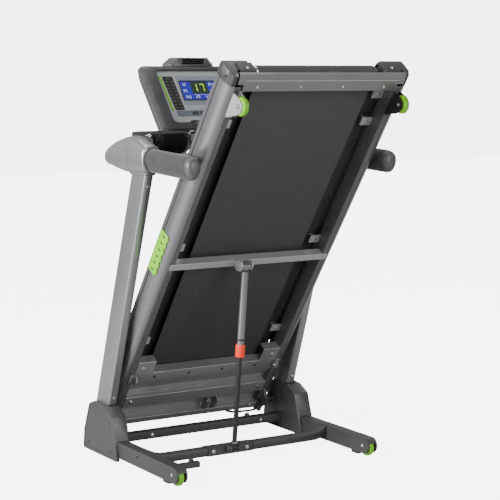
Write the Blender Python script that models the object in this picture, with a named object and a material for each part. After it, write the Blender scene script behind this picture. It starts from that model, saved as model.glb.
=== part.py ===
"""Folding treadmill in its folded pose.

Units are metres. +X is the runner's right, +Y points to the console, +Z is up, and the floor is z = 0.
The deck is drawn flat in its own frame (x right, y forward, z up from the frame's underside), and the empty
on the hinge axis then tips it up to the folded pose. The strut is drawn upright in a frame at its foot.
"""

import math

import bmesh
import bpy

GAP = 0.0003                    # between touching pieces
LAYOUT_SHIFT = 0.00242          # moves the whole layout so that its box is centred on y = 0

# ---- base
RAIL_OUT, RAIL_IN = 0.400, 0.360
RAIL_LOW, RAIL_HIGH = 0.0125, 0.0675
RAIL_FRONT, RAIL_ROUND = 0.395, -0.2188
WHEEL_Y, WHEEL_Z, WHEEL_R = -0.2125, 0.033, 0.031
TUBE_WALL = 0.002

# ---- uprights, leaning back towards the runner
UPRIGHT_IN, UPRIGHT_OUT = 0.3575, 0.3895
UPRIGHT_LEAN = 0.3516           # backward run per metre of height
UPRIGHT_REAR, UPRIGHT_FRONT = 0.3293, 0.4315
UPRIGHT_LOW, UPRIGHT_TOP = 0.0682, 1.045

# ---- deck: v runs from its front end to its rear end, w up from the underside
DECK_TIP = math.radians(54.41)  # how far the deck is folded past level
HINGE_Y, HINGE_Z, HINGE_V = 0.3810, 0.0976, 0.120
DECK_END = 1.640
FRAME_IN, FRAME_OUT = 0.2947, 0.3145
BELT_HALF = 0.2225
ROLLER_W, ROLLER_R, BELT_THICK = 0.0590, 0.0195, 0.0018
FRONT_ROLLER_V, REAR_ROLLER_V = 0.330, 1.605
FORK_V, FORK_W = 1.5535, -0.0470    # axle of the transport wheels

# ---- strut
STRUT_X = -0.043
FOOT_Y, FOOT_Z = -0.010, 0.042
STRUT_LEAN = math.radians(6.632)
STRUT_LENGTH = 0.6534

TRAY_Y = 0.1175

# ---- console, tilted back from upright
CONSOLE_TILT = math.radians(31.7)
CONSOLE_Y, CONSOLE_Z = 0.276, 1.2405
KEY_DOCK_HALF = 0.0800
FAN_Y, FAN_Z = 0.3800, 1.3730

COLOURS = {
    "silver_paint": (0.62, 0.63, 0.65),
    "dark_paint": (0.20, 0.20, 0.21),
    "grey_plastic": (0.23, 0.23, 0.24),
    "silver_plastic": (0.62, 0.62, 0.63),
    "black_plastic": (0.03, 0.03, 0.03),
    "panel_face": (0.45, 0.50, 0.57),
    "screen": (0.08, 0.09, 0.45),
    "foam": (0.20, 0.20, 0.21),
    "rubber": (0.03, 0.03, 0.03),
    "green": (0.50, 0.85, 0.05),
    "orange": (0.85, 0.15, 0.05),
    "steel": (0.60, 0.60, 0.60),
    "black_steel": (0.03, 0.03, 0.03),
    "belt": (0.10, 0.10, 0.10),
    "board": (0.35, 0.25, 0.15),
}


# ---------------------------------------------------------------- helpers

def clear_scene():
    for item in list(bpy.data.objects):
        bpy.data.objects.remove(item, do_unlink=True)


def material(colour):
    found = bpy.data.materials.get(colour)
    if found:
        return found
    made = bpy.data.materials.new(colour)
    made.use_nodes = True
    made.node_tree.nodes["Principled BSDF"].inputs["Base Color"].default_value = (*COLOURS[colour], 1.0)
    return made


def place(axis, along, first, second):
    """A point from its distance along an axis and its two other coordinates in X, Y, Z order."""
    if axis == "x":
        return (along, first, second)
    if axis == "y":
        return (first, along, second)
    return (first, second, along)


def finish_mesh(name, shape, colour, parent):
    bmesh.ops.recalc_face_normals(shape, faces=shape.faces)
    mesh = bpy.data.meshes.new(name)
    shape.to_mesh(mesh)
    shape.free()
    made = bpy.data.objects.new(name, mesh)
    bpy.context.scene.collection.objects.link(made)
    made.parent = parent
    if colour:
        mesh.materials.append(material(colour))
    return made


def prism(name, axis, outline, low, high, colour=None, parent=None):
    """An outline pulled straight along an axis."""
    shape = bmesh.new()
    lower = [shape.verts.new(place(axis, low, p, q)) for p, q in outline]
    upper = [shape.verts.new(place(axis, high, p, q)) for p, q in outline]
    shape.faces.new(lower)
    shape.faces.new(upper)
    count = len(outline)
    for index in range(count):
        after = (index + 1) % count
        shape.faces.new((lower[index], lower[after], upper[after], upper[index]))
    return finish_mesh(name, shape, colour, parent)


def loft(name, axis, sections, colour=None, parent=None):
    """Outlines with equal point counts at growing distances along an axis, skinned and closed."""
    shape = bmesh.new()
    rings = []
    for along, outline in sections:
        rings.append([shape.verts.new(place(axis, along, p, q)) for p, q in outline])
    shape.faces.new(rings[0])
    shape.faces.new(rings[-1])
    count = len(rings[0])
    for near, far in zip(rings, rings[1:]):
        for index in range(count):
            after = (index + 1) % count
            shape.faces.new((near[index], near[after], far[after], far[index]))
    return finish_mesh(name, shape, colour, parent)


def block(name, low, high, colour=None, parent=None):
    outline = [(low[1], low[2]), (high[1], low[2]), (high[1], high[2]), (low[1], high[2])]
    return prism(name, "x", outline, low[0], high[0], colour, parent)


def circle(centre, radius, sides):
    step = 2 * math.pi / sides
    return [(centre[0] + radius * math.cos(step * (k + 0.5)), centre[1] + radius * math.sin(step * (k + 0.5)))
            for k in range(sides)]


def disc(name, axis, centre, radius, low, high, colour=None, parent=None, sides=32):
    return prism(name, axis, circle(centre, radius, sides), low, high, colour, parent)


def lathe(name, axis, centre, profile, colour=None, parent=None, sides=40):
    """A closed profile of (radius, distance along the axis) turned round the axis; no point is on the axis."""
    shape = bmesh.new()
    rings = []
    for radius, along in profile:
        rings.append([shape.verts.new(place(axis, along, p, q)) for p, q in circle(centre, radius, sides)])
    for index in range(len(rings)):
        near, far = rings[index], rings[(index + 1) % len(rings)]
        for k in range(sides):
            after = (k + 1) % sides
            shape.faces.new((near[k], near[after], far[after], far[k]))
    return finish_mesh(name, shape, colour, parent)


def rounded(points, radius, steps=4):
    """The same outline with every corner turned into an arc of at most the given radius."""
    result = []
    count = len(points)
    for index in range(count):
        corner = points[index]
        before = points[index - 1]
        after = points[(index + 1) % count]
        to_before = (before[0] - corner[0], before[1] - corner[1])
        to_after = (after[0] - corner[0], after[1] - corner[1])
        run_before, run_after = math.hypot(*to_before), math.hypot(*to_after)
        unit_before = (to_before[0] / run_before, to_before[1] / run_before)
        unit_after = (to_after[0] / run_after, to_after[1] / run_after)
        cosine = unit_before[0] * unit_after[0] + unit_before[1] * unit_after[1]
        half = math.acos(max(-1.0, min(1.0, cosine))) / 2
        cut_back = min(radius / math.tan(half), 0.45 * run_before, 0.45 * run_after)
        start = (corner[0] + unit_before[0] * cut_back, corner[1] + unit_before[1] * cut_back)
        end = (corner[0] + unit_after[0] * cut_back, corner[1] + unit_after[1] * cut_back)
        for k in range(steps + 1):
            t = k / steps
            weights = ((1 - t) ** 2, 2 * t * (1 - t), t ** 2)
            result.append(tuple(weights[0] * start[i] + weights[1] * corner[i] + weights[2] * end[i]
                                for i in (0, 1)))
    return result


def rectangle(low_p, low_q, high_p, high_q):
    return [(low_p, low_q), (high_p, low_q), (high_p, high_q), (low_p, high_q)]


def hide(tool):
    tool.hide_render = True
    tool.display_type = "WIRE"


def combine(target, tool, operation):
    step = target.modifiers.new(operation.lower(), "BOOLEAN")
    step.operation = operation
    step.solver = "EXACT"
    step.object = tool
    hide(tool)


def cut(target, *tools):
    for tool in tools:
        combine(target, tool, "DIFFERENCE")
    return target


def weld(target, *pieces):
    for piece in pieces:
        combine(target, piece, "UNION")
    return target


def soften(target, width, segments=2, angle=40):
    step = target.modifiers.new("soften", "BEVEL")
    step.width = width
    step.segments = segments
    step.limit_method = "ANGLE"
    step.angle_limit = math.radians(angle)
    return target


def empty(name, location, turn_x=0.0, parent=None):
    made = bpy.data.objects.new(name, None)
    bpy.context.scene.collection.objects.link(made)
    made.location = location
    made.rotation_euler = (turn_x, 0.0, 0.0)
    made.parent = parent
    return made


SIDES = (("left", -1), ("right", 1))


# ---------------------------------------------------------------- base

def rail_outline(inset):
    low, high = RAIL_LOW + inset, RAIL_HIGH - inset
    middle, radius = (low + high) / 2, (high - low) / 2
    arc = [(RAIL_ROUND - radius * math.cos(a), middle - radius * math.sin(a))
           for a in (math.pi * (k / 12 - 0.5) for k in range(13))]
    front = RAIL_FRONT + (0.01 if inset else 0.0)
    return [(front, low), (front, high)] + arc


def build_rails():
    for side, sign in SIDES:
        ends = sorted((sign * RAIL_IN, sign * RAIL_OUT))
        rail = prism(f"base_rail_{side}", "x", rail_outline(0.0), *ends, "silver_paint")
        if sign < 0:
            weld(rail, block("arm_tool", (-0.361, -0.170, 0.0400), (-0.270, -0.150, 0.0590)))
        hollow = prism(f"rail_hollow_{side}", "x", rail_outline(TUBE_WALL),
                       ends[0] + TUBE_WALL, ends[1] - TUBE_WALL)
        slot = block(f"rail_slot_{side}", (ends[0] + 0.006, -0.27, 0.0), (ends[1] - 0.006, -0.176, 0.050))
        cut(rail, hollow, slot)
        middle = sign * (RAIL_IN + RAIL_OUT) / 2
        rear = prism(f"rear_foot_{side}", "z", rounded(rectangle(middle - 0.013, -0.172, middle + 0.013, -0.132),
                                                       0.006), 0.0, RAIL_LOW - GAP, "rubber")
        soften(rear, 0.002, 1)
        front = prism(f"front_foot_{side}", "z", rounded(rectangle(middle - 0.015, 0.340, middle + 0.015, 0.385),
                                                         0.006), 0.0, RAIL_LOW - GAP, "rubber")
        soften(front, 0.002, 1)
        wheel_parent = empty(f"base_wheel_axis_{side}", (middle, WHEEL_Y, WHEEL_Z))
        half = 0.0115
        profile = [(0.004, -half), (0.020, -half), (WHEEL_R - 0.004, -half + 0.001), (WHEEL_R - 0.001, -half + 0.004),
                   (WHEEL_R, 0.0), (WHEEL_R - 0.001, half - 0.004), (WHEEL_R - 0.004, half - 0.001),
                   (0.020, half), (0.004, half)]
        lathe(f"base_wheel_{side}", "x", (0, 0), profile, "green", wheel_parent)
    lathe("bumper_pad", "z", (-0.300, -0.160), [(0.002, 0.0593), (0.0085, 0.0593), (0.0085, 0.069),
                                                (0.0065, 0.072), (0.002, 0.0725)], "rubber", sides=24)


def build_cross_tubes():
    reach = RAIL_IN - GAP
    outer = rounded(rectangle(0.297, 0.030, 0.335, 0.060), 0.005, 3)
    inner = rectangle(0.300, 0.033, 0.332, 0.057)
    tube = prism("base_front_tube", "x", outer, -reach, reach, "silver_paint")
    cut(tube, prism("front_tube_hollow", "x", inner, -0.4, 0.4))

    upper = [(-reach, 0.0660), (-0.345, 0.0610), (-0.328, 0.0530), (-0.308, 0.0478), (-0.280, 0.0470)]
    lower = [(-reach, 0.0370), (-0.350, 0.0310), (-0.336, 0.0235), (-0.314, 0.0187), (-0.280, 0.0180)]
    outline = upper + [(-x, z) for x, z in reversed(upper)] + [(-x, z) for x, z in lower] + list(reversed(lower))
    rear = prism("base_rear_tube", "y", outline, 0.011, 0.049, "silver_paint")
    soften(rear, 0.003, 2)
    sleeve = block("sleeve_tool", (STRUT_X - 0.092, 0.0100, 0.0172), (STRUT_X + 0.087, 0.0500, 0.0478))
    weld(rear, sleeve)
    for offset in (-0.0165, 0.0165):
        x = STRUT_X + offset
        ear = prism(f"foot_ear_{offset}", "x",
                    rounded([(0.012, 0.0300), (0.012, 0.0480), (-0.0180, 0.0520), (-0.0225, 0.0420), (-0.0180, 0.0320)],
                            0.005), x - 0.002, x + 0.002)
        outer_side = 1 if offset > 0 else -1
        head = sorted((x, x + outer_side * 0.0068))
        weld(rear, ear, disc(f"foot_bolt_{offset}", "x", (FOOT_Y, FOOT_Z), 0.0062, *head, sides=6))


def leaning(offset_front, offset_rear, low, high):
    """The side outline of an upright, grown by the two offsets, between two heights."""
    rear_low = UPRIGHT_REAR - UPRIGHT_LEAN * low - offset_rear
    rear_high = UPRIGHT_REAR - UPRIGHT_LEAN * high - offset_rear
    front_low = UPRIGHT_FRONT - UPRIGHT_LEAN * low + offset_front
    front_high = UPRIGHT_FRONT - UPRIGHT_LEAN * high + offset_front
    return [(rear_low, low), (front_low, low), (front_high, high), (rear_high, high)]


def build_uprights():
    for side, sign in SIDES:
        ends = sorted((sign * UPRIGHT_IN, sign * UPRIGHT_OUT))
        upright = prism(f"upright_{side}", "x", leaning(0, 0, UPRIGHT_LOW, UPRIGHT_TOP), *ends, "silver_paint")
        soften(upright, 0.007, 3, 60)
        hollow = prism(f"upright_hollow_{side}", "x", leaning(-0.003, -0.003, UPRIGHT_LOW - 0.02, UPRIGHT_TOP - 0.004),
                       ends[0] + 0.0025, ends[1] - 0.0025)
        pin_ends = sorted((sign * 0.3160, sign * 0.3590))
        pin = disc(f"pin_tool_{side}", "x", (HINGE_Y, HINGE_Z), 0.0095, *pin_ends, sides=32)
        cut(upright, hollow)
        weld(upright, pin)

        outline = rounded([(0.430, 0.0002), (0.421, 0.070), (0.379, 0.171), (0.345, 0.184), (0.262, 0.176), (0.208, 0.150),
                           (0.160, 0.0002)], 0.010)
        inner = rounded([(0.4255, -0.02), (0.4165, 0.070), (0.375, 0.168), (0.344, 0.180), (0.264, 0.1725), (0.2115, 0.148),
                         (0.158, -0.02)], 0.008)
        cover_ends = sorted((sign * 0.3500, sign * 0.4130))
        cover = prism(f"base_cover_{side}", "x", outline, *cover_ends, "grey_plastic")
        soften(cover, 0.004, 2)
        cavity = prism(f"cover_cavity_{side}", "x", [(max(y, 0.1650), z) for y, z in inner],
                       cover_ends[0] + 0.003, cover_ends[1] - 0.003)
        upright_hole = prism(f"cover_upright_hole_{side}", "x", leaning(0.0006, 0.0006, 0.10, 0.24),
                             ends[0] - 0.0006, ends[1] + 0.0006)
        rail_hole = block(f"cover_rail_hole_{side}", (min(sign * (RAIL_IN - GAP), sign * (RAIL_OUT + GAP)), 0.10, -0.01),
                          (max(sign * (RAIL_IN - GAP), sign * (RAIL_OUT + GAP)), 0.20, RAIL_HIGH + GAP))
        tube_hole = block(f"cover_tube_hole_{side}", (min(sign * 0.34, sign * 0.356), 0.2964, 0.0294),
                          (max(sign * 0.34, sign * 0.356), 0.3356, 0.0606))
        pin_hole = disc(f"cover_pin_hole_{side}", "x", (HINGE_Y, HINGE_Z), 0.0105,
                        *sorted((sign * 0.34, sign * 0.356)), sides=32)
        cut(cover, cavity, upright_hole, rail_hole, tube_hole, pin_hole)


# ---------------------------------------------------------------- top of the uprights

def egg(centre_x, middle, half_wide, half_tall, sides=28):
    """A grip's section: broad at the top and narrow at the bottom."""
    points = []
    for k in range(sides):
        angle = 2 * math.pi * (k + 0.5) / sides
        height = math.sin(angle)
        width = half_wide * (1.0 + 0.20 * height) * math.cos(angle)
        points.append((centre_x + width, middle + half_tall * height))
    return points


def build_top():
    for side, sign in SIDES:
        centre = sign * 0.3800
        sections = [
            (-0.0490, 0.0330, 0.0435, 1.0570),
            (-0.0200, 0.0345, 0.0520, 1.0600),
            (0.0300, 0.0350, 0.0610, 1.0690),
            (0.0900, 0.0350, 0.0600, 1.0670),
            (0.1500, 0.0340, 0.0490, 1.0640),
            (0.2100, 0.0310, 0.0320, 1.0600),
            (0.2520, 0.0240, 0.0130, 1.0500),
        ]
        skin = [(along, [(centre + p, q) for p, q in
                         rounded(rectangle(-wide, middle - tall, wide, middle + tall), 0.022, 4)])
                for along, wide, tall, middle in sections]
        shoulder = loft(f"shoulder_{side}", "y", skin, "silver_plastic")
        ends = sorted((sign * UPRIGHT_IN, sign * UPRIGHT_OUT))
        socket = prism(f"shoulder_socket_{side}", "x", leaning(0.0005, 0.0005, 0.95, UPRIGHT_TOP + 0.0005),
                       ends[0] - 0.0005, ends[1] + 0.0005)
        collar = prism(f"shoulder_collar_{side}", "x", leaning(0.006, 0.006, 1.006, 1.030),
                       ends[0] - 0.005, ends[1] + 0.005)
        weld(shoulder, collar)
        cut(shoulder, socket)

        grip_sections = []
        for along, scale in ((-0.3400, 0.30), (-0.3375, 0.62), (-0.3300, 0.86), (-0.3180, 0.97), (-0.3020, 1.0),
                             (-0.1800, 1.0), (-0.0494, 1.0)):
            middle = 1.0395 + 0.0450 * (along + 0.3400)
            grip_sections.append((along, egg(centre, middle, 0.0270 * scale, 0.0385 * scale)))
        loft(f"grip_{side}", "y", grip_sections, "foam")

        middle_x = sign * 0.2530
        sections = []
        for height, scale in ((1.0620, 0.74), (1.0680, 0.86), (1.0800, 0.94), (1.1000, 0.985), (1.1340, 1.0),
                              (1.1380, 0.98)):
            wide, deep = 0.0870 * scale, 0.0875 * scale
            sections.append((height, rounded(rectangle(middle_x - wide, TRAY_Y - deep, middle_x + wide,
                                                       TRAY_Y + deep), 0.055, 5)))
        tray = loft(f"tray_{side}", "z", sections, "grey_plastic")
        pocket = prism(f"tray_pocket_{side}", "z", rounded(rectangle(middle_x - 0.073, TRAY_Y - 0.0735,
                                                                     middle_x + 0.073, TRAY_Y + 0.0735),
                                                           0.046, 5), 1.0760, 1.15)
        cut(tray, pocket)

    base = prism("console_base", "x", rounded([(0.155, 1.072), (0.285, 1.072), (0.300, 1.100), (0.275, 1.1260),
                                               (0.190, 1.1260), (0.160, 1.100)], 0.008),
                 -0.1655, 0.1655, "grey_plastic")
    soften(base, 0.003, 1)
    bar = prism("pulse_bar", "x", rounded(rectangle(0.112, 1.0450, 0.1545, 1.0615), 0.006, 4), -0.205, 0.205,
                "black_plastic")
    soften(bar, 0.002, 1)


# ---------------------------------------------------------------- console

def console_outline(top_half, bottom_half, low, high, radius):
    return rounded([(-bottom_half, low), (bottom_half, low), (top_half, high), (-top_half, high)], radius, 5)


def build_console():
    frame = empty("console_frame", (0.0, CONSOLE_Y, CONSOLE_Z))
    frame.rotation_euler = (math.pi / 2 - CONSOLE_TILT, 0.0, 0.0)
    # local x is right, local y up the panel, local z out of the panel towards the runner
    bezel = loft("console_bezel", "z", [
        (-0.0450, console_outline(0.2050, 0.1830, -0.1230, 0.1330, 0.024)),
        (-0.0120, console_outline(0.2215, 0.2000, -0.1320, 0.1430, 0.024)),
        (0.0000, console_outline(0.2200, 0.1985, -0.1310, 0.1415, 0.024)),
        (0.0110, console_outline(0.2070, 0.1870, -0.1220, 0.1310, 0.022)),
        (0.0130, console_outline(0.2030, 0.1830, -0.1190, 0.1280, 0.020)),
    ], "grey_plastic", frame)
    recess = prism("panel_recess", "z", console_outline(0.1630, 0.1470, -0.0960, 0.1175, 0.020), 0.0020, 0.0400,
                   parent=frame)
    dock_outline = rounded(rectangle(-KEY_DOCK_HALF, -0.1180, KEY_DOCK_HALF, -0.0840), 0.030, 6)
    key_dock = prism("key_dock_tool", "z", dock_outline, 0.0035, 0.0400, parent=frame)
    key_hole = disc("key_hole_tool", "z", (0.0, -0.1010), 0.0064, -0.0120, 0.0400, parent=frame, sides=24)
    cut(bezel, recess, key_dock, key_hole)
    for name, x in (("start_button", 0.0420), ("stop_button", -0.0420)):
        well = disc(f"{name}_well", "z", (x, -0.1010), 0.0118, -0.0060, 0.0400, parent=frame, sides=28)
        cut(bezel, well)
        button_axis = empty(f"{name}_axis", (x, -0.1010, 0.0), parent=frame)
        button = disc(name, "z", (0, 0), 0.0112, -0.0030, 0.0105, "grey_plastic", button_axis, sides=28)
        soften(button, 0.0012, 2)
    panel = prism("console_panel", "z", console_outline(0.1625, 0.1465, -0.0955, 0.1170, 0.020), 0.0023, 0.0048,
                  "panel_face", frame)
    dock_bite = prism("panel_dock_bite", "z",
                      rounded(rectangle(-KEY_DOCK_HALF - 0.0006, -0.1186, KEY_DOCK_HALF + 0.0006, -0.0834), 0.030, 6),
                      -0.01, 0.02, parent=frame)
    cut(panel, dock_bite)
    screen_well = block("screen_well", (-0.0760, 0.0000, 0.0036), (0.0760, 0.0740, 0.02), parent=frame)
    cut(panel, screen_well)
    block("display_window", (-0.0757, 0.0003, 0.0039), (0.0757, 0.0737, 0.0056), "screen", frame)

    key_axis = empty("safety_key_axis", (0.0, -0.1010, 0.0), parent=frame)
    lathe("safety_key", "z", (0, 0), [(0.0012, -0.0110), (0.0060, -0.0110), (0.0060, 0.0040), (0.0150, 0.0042),
                                            (0.0150, 0.0110), (0.0130, 0.0130), (0.0080, 0.0145), (0.0080, 0.0220),
                                            (0.0065, 0.0235), (0.0012, 0.0235)], "orange", key_axis, sides=24)

    back_sections = [
        (-0.0800, console_outline(0.1300, 0.1150, -0.0880, 0.0800, 0.026)),
        (-0.0720, console_outline(0.1620, 0.1450, -0.1020, 0.1030, 0.026)),
        (-0.0600, console_outline(0.1880, 0.1680, -0.1150, 0.1220, 0.026)),
        (-0.0453, console_outline(0.2030, 0.1810, -0.1210, 0.1310, 0.026)),
    ]
    back = loft("console_back", "z", back_sections, "grey_plastic", frame)
    inside = [
        (-0.0770, console_outline(0.1270, 0.1120, -0.0850, 0.0770, 0.023)),
        (-0.0690, console_outline(0.1590, 0.1420, -0.0990, 0.1000, 0.023)),
        (-0.0570, console_outline(0.1850, 0.1650, -0.1120, 0.1190, 0.023)),
        (-0.0400, console_outline(0.2000, 0.1780, -0.1180, 0.1280, 0.023)),
    ]
    cut(back, loft("console_back_hollow", "z", inside, parent=frame))
    # the back clears the low body that carries it
    base_clear = prism("console_back_clear", "x", [(0.10, 1.00), (0.32, 1.00), (0.32, 1.1266), (0.10, 1.1266)],
                       -0.25, 0.25)
    cut(back, base_clear)
    cut(bpy.data.objects["console_bezel"],
        prism("console_bezel_clear", "x", [(0.10, 1.00), (0.32, 1.00), (0.32, 1.1266), (0.10, 1.1266)], -0.25, 0.25))

    housing = loft("fan_housing", "y", [
        (along, rounded([(-foot, 1.3300), (foot, 1.3300), (shoulder, 1.3700), (top, 1.3910), (-top, 1.3910),
                         (-shoulder, 1.3700)], 0.006, 3))
        for along, foot, shoulder, top in ((0.3430, 0.0700, 0.0665, 0.0610), (0.3530, 0.0960, 0.0860, 0.0625),
                                           (0.4020, 0.1020, 0.0920, 0.0640))
    ], "grey_plastic")
    soften(housing, 0.002, 1)
    chamber = block("fan_chamber", (-0.0500, 0.3580, 1.3540), (0.0500, 0.3980, 1.3880))
    cut(housing, chamber)
    for index in range(3):
        low = 1.3675 + index * 0.0068
        cut(housing, block(f"fan_slot_{index}", (-0.0450, 0.3300, low), (0.0450, 0.3600, low + 0.0042)))
    # the housing sits on the sloping top of the console
    seat = [(-0.30, -0.2000), (0.1314, -0.2000), (0.1334, -0.0455), (0.1434, -0.0120), (0.1419, 0.0003),
            (0.1313, 0.0114), (0.1284, 0.0140), (-0.30, 0.0140)]
    cut(housing, prism("fan_seat", "x", seat, -0.30, 0.30, parent=frame))
    fan_axis = empty("fan_axis", (0.0, FAN_Y, FAN_Z))
    blades = []
    for k in range(16):
        angle = 2 * math.pi * k / 16
        radius = 0.0128 if k % 2 == 0 else 0.0085
        blades.append((radius * math.cos(angle), radius * math.sin(angle)))
    prism("fan_rotor", "x", blades, -0.0460, 0.0460, "black_plastic", fan_axis)


# ---------------------------------------------------------------- deck

def deck_y(v):
    """Local y in the deck's hinge frame."""
    return HINGE_V - v


def deck_box(name, x_low, x_high, v_low, v_high, w_low, w_high, colour=None, parent=None):
    return block(name, (x_low, deck_y(v_high), w_low), (x_high, deck_y(v_low), w_high), colour, parent)


def deck_prism(name, outline, x_low, x_high, colour=None, parent=None):
    """An outline in (v, w) pulled across the deck."""
    return prism(name, "x", [(deck_y(v), w) for v, w in outline], x_low, x_high, colour, parent)


def build_frame(deck):
    for side, sign in SIDES:
        ends = sorted((sign * FRAME_IN, sign * FRAME_OUT))
        tube = deck_box(f"deck_tube_{side}", *ends, 0.075, 1.590, 0.0, 0.0570, "dark_paint", deck)
        soften(tube, 0.002, 1)
        bore = disc(f"hinge_bore_{side}", "x", (0.0, 0.0), 0.0098, -0.4, 0.4, parent=deck, sides=32)
        hinge_boss = disc(f"hinge_boss_{side}", "x", (0.0, 0.0), 0.0230, *sorted((sign * 0.3120, sign * 0.3180)),
                          parent=deck, sides=32)
        plate = deck_prism(f"hinge_plate_{side}", [(0.080, -0.018), (0.160, -0.018), (0.185, 0.004), (0.070, 0.004)],
                           *sorted((sign * 0.3050, sign * 0.3145)), parent=deck)
        hollow = deck_box(f"tube_hollow_{side}", ends[0] + TUBE_WALL, ends[1] - TUBE_WALL, 0.190, 1.700,
                          TUBE_WALL, 0.0550, parent=deck)
        weld(tube, plate, hinge_boss)
        cut(tube, hollow, bore)
        # wheel fork: a foot under the tube with a cheek on each side of the wheel and the axle between
        for label, near, far, top in (("foot", 0.2905, 0.3140, 0.0005), ("lip", 0.3130, 0.3172, -0.0004)):
            weld(tube, deck_box(f"fork_{label}_{side}", *sorted((sign * near, sign * far)), 1.4780, 1.5180,
                                -0.0025, top, parent=deck))
        cheek_outline = rounded([(1.4760, -0.0003), (1.5720, -0.0003), (1.5750, -0.0400), (1.5690, -0.0620),
                                 (1.5500, -0.0690), (1.5350, -0.0620)], 0.010)
        for label, near, far in (("inner", 0.2905, 0.2930), ("outer", 0.3147, 0.3172)):
            cheek = deck_prism(f"fork_cheek_{label}_{side}", cheek_outline, *sorted((sign * near, sign * far)),
                               parent=deck)
            weld(tube, cheek)
        for label, radius, near, far in (("axle", 0.0037, 0.2870, 0.3205), ("inner_head", 0.0080, 0.2865, 0.2910),
                                         ("outer_head", 0.0080, 0.3168, 0.3212)):
            weld(tube, disc(f"fork_{label}_{side}", "x", (deck_y(FORK_V), FORK_W), radius,
                            *sorted((sign * near, sign * far)), parent=deck, sides=12))
        for v in (0.467, 0.900, 1.417, 1.528):
            tab = deck_box(f"cushion_tab_{side}_{v}", *sorted((sign * 0.2500, sign * 0.2960)), v - 0.015, v + 0.015,
                           0.0450, 0.0480, parent=deck)
            weld(tube, tab)
        wheel_axis = empty(f"deck_wheel_axis_{side}", (sign * 0.30385, deck_y(FORK_V), FORK_W), parent=deck)
        half = 0.0098
        lathe(f"deck_wheel_{side}", "x", (0, 0),
              [(0.0042, -half), (0.0190, -half), (0.0270, -half + 0.001), (0.0300, -half + 0.005),
               (0.0300, half - 0.005), (0.0270, half - 0.001), (0.0190, half), (0.0042, half)],
              "green", wheel_axis, sides=32)

    reach = FRAME_IN - GAP
    mid = deck_box("mid_cross", -reach, reach, 0.8420, 0.8670, 0.0003, 0.0275, "silver_paint", deck)
    face = deck_box("mid_face", -0.3135, 0.3135, 0.8420, 0.8670, -0.0025, -GAP, parent=deck)
    link = deck_box("mid_link", -0.2900, 0.2900, 0.8430, 0.8660, -0.0020, 0.0010, parent=deck)
    weld(mid, link, face)
    for offset in (-0.0205, 0.0205):
        x = STRUT_X + offset
        ear = deck_prism(f"top_ear_{offset}",
                         rounded([(0.846, 0.004), (0.846, -0.030), (0.860, -0.050), (0.884, -0.050), (0.892, -0.034),
                                  (0.866, 0.004)], 0.008), x - 0.002, x + 0.002, parent=deck)
        outer_side = 1 if offset > 0 else -1
        bolt_ends = sorted((x, x + outer_side * 0.0072))
        bolt = disc(f"top_bolt_{offset}", "x", (deck_y(0.874), -0.034), 0.0070, *bolt_ends, parent=deck, sides=6)
        weld(mid, ear, bolt)

    # pressed cross panel with a raised tab at each end
    pan_outline = [(0.3470, 0.0355), (0.3470, 0.0), (0.3050, 0.0020), (0.2750, 0.0090), (0.2560, 0.0200),
                   (0.2450, 0.0270), (0.2266, 0.0270), (0.2266, 0.0296), (0.2460, 0.0296), (0.2575, 0.0222),
                   (0.2760, 0.0115), (0.3055, 0.0046), (0.3445, 0.0026), (0.3445, 0.0355)]
    pan = deck_prism("pan_cross", pan_outline, -reach, reach, "dark_paint", deck)
    for side, sign in SIDES:
        ends = sorted((sign * 0.2230, sign * (reach - 0.0005)))
        tab = deck_prism(f"pan_tab_{side}", [(0.3450, 0.0), (0.4030, 0.0), (0.4030, 0.0340), (0.4005, 0.0340),
                                              (0.4005, 0.0025), (0.3450, 0.0025)], *ends, parent=deck)
        weld(pan, tab)
    cut(pan, disc("pan_pulley_clear", "x", (deck_y(FRONT_ROLLER_V), ROLLER_W), 0.0395, -0.2585, -0.2335,
                  parent=deck, sides=40))
    motor_cross = deck_box("motor_cross", -reach, reach, 0.1780, 0.2260, 0.0, 0.0300, "dark_paint", deck)
    cut(motor_cross, deck_box("motor_cross_hollow", -0.31, 0.31, 0.1800, 0.2240, 0.0020, 0.0280, parent=deck))
    weld(motor_cross, deck_box("motor_plate", -reach, reach, 0.1115, 0.1790, 0.0280, 0.0300, parent=deck))
    front_cross = deck_box("front_cross", -reach, reach, 0.0860, 0.1110, 0.0, 0.0300, "dark_paint", deck)
    cut(front_cross, deck_box("front_cross_hollow", -0.31, 0.31, 0.0880, 0.1090, 0.0020, 0.0280, parent=deck))
    # lug between the two front tubes
    for offset in (-0.018, 0.018):
        lug = deck_prism(f"lug_{offset}", rounded([(0.1050, 0.012), (0.1280, -0.012), (0.1720, -0.016),
                                                   (0.1740, 0.014), (0.140, 0.024)], 0.006),
                         0.080 + offset - 0.002, 0.080 + offset + 0.002, parent=deck)
        weld(front_cross, lug)

    plate_outline = [(1.5770, 0.0), (1.6170, 0.0), (1.6385, 0.0050), (1.6385, 0.0140), (1.6362, 0.0140),
                     (1.6362, 0.0068), (1.6165, 0.0023), (1.5770, 0.0023)]
    plate = deck_prism("rear_plate", [(v, w - 0.0026) for v, w in plate_outline], -0.3128, 0.3128,
                       "silver_paint", deck)
    trim = [deck_box(f"plate_trim_{side}", *sorted((sign * 0.2900, sign * 0.33)), 1.57, 1.6020, -0.02, 0.02,
                     parent=deck) for side, sign in SIDES]
    cut(plate, *trim)


def foot_rail_profile(sign, inset=0.0):
    outer = [(0.3150, 0.0000), (0.3230, 0.0020), (0.3330, 0.0095), (0.3400, 0.0215), (0.3435, 0.0350),
             (0.3445, 0.0500), (0.3445, 0.0560), (0.3405, 0.0560), (0.3405, 0.0610), (0.3445, 0.0610),
             (0.3440, 0.0760), (0.3415, 0.0820), (0.3350, 0.0840), (0.2330, 0.0840), (0.2330, 0.0810),
             (0.3150, 0.0785)]
    return [(sign * x, w) for x, w in outer]


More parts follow.
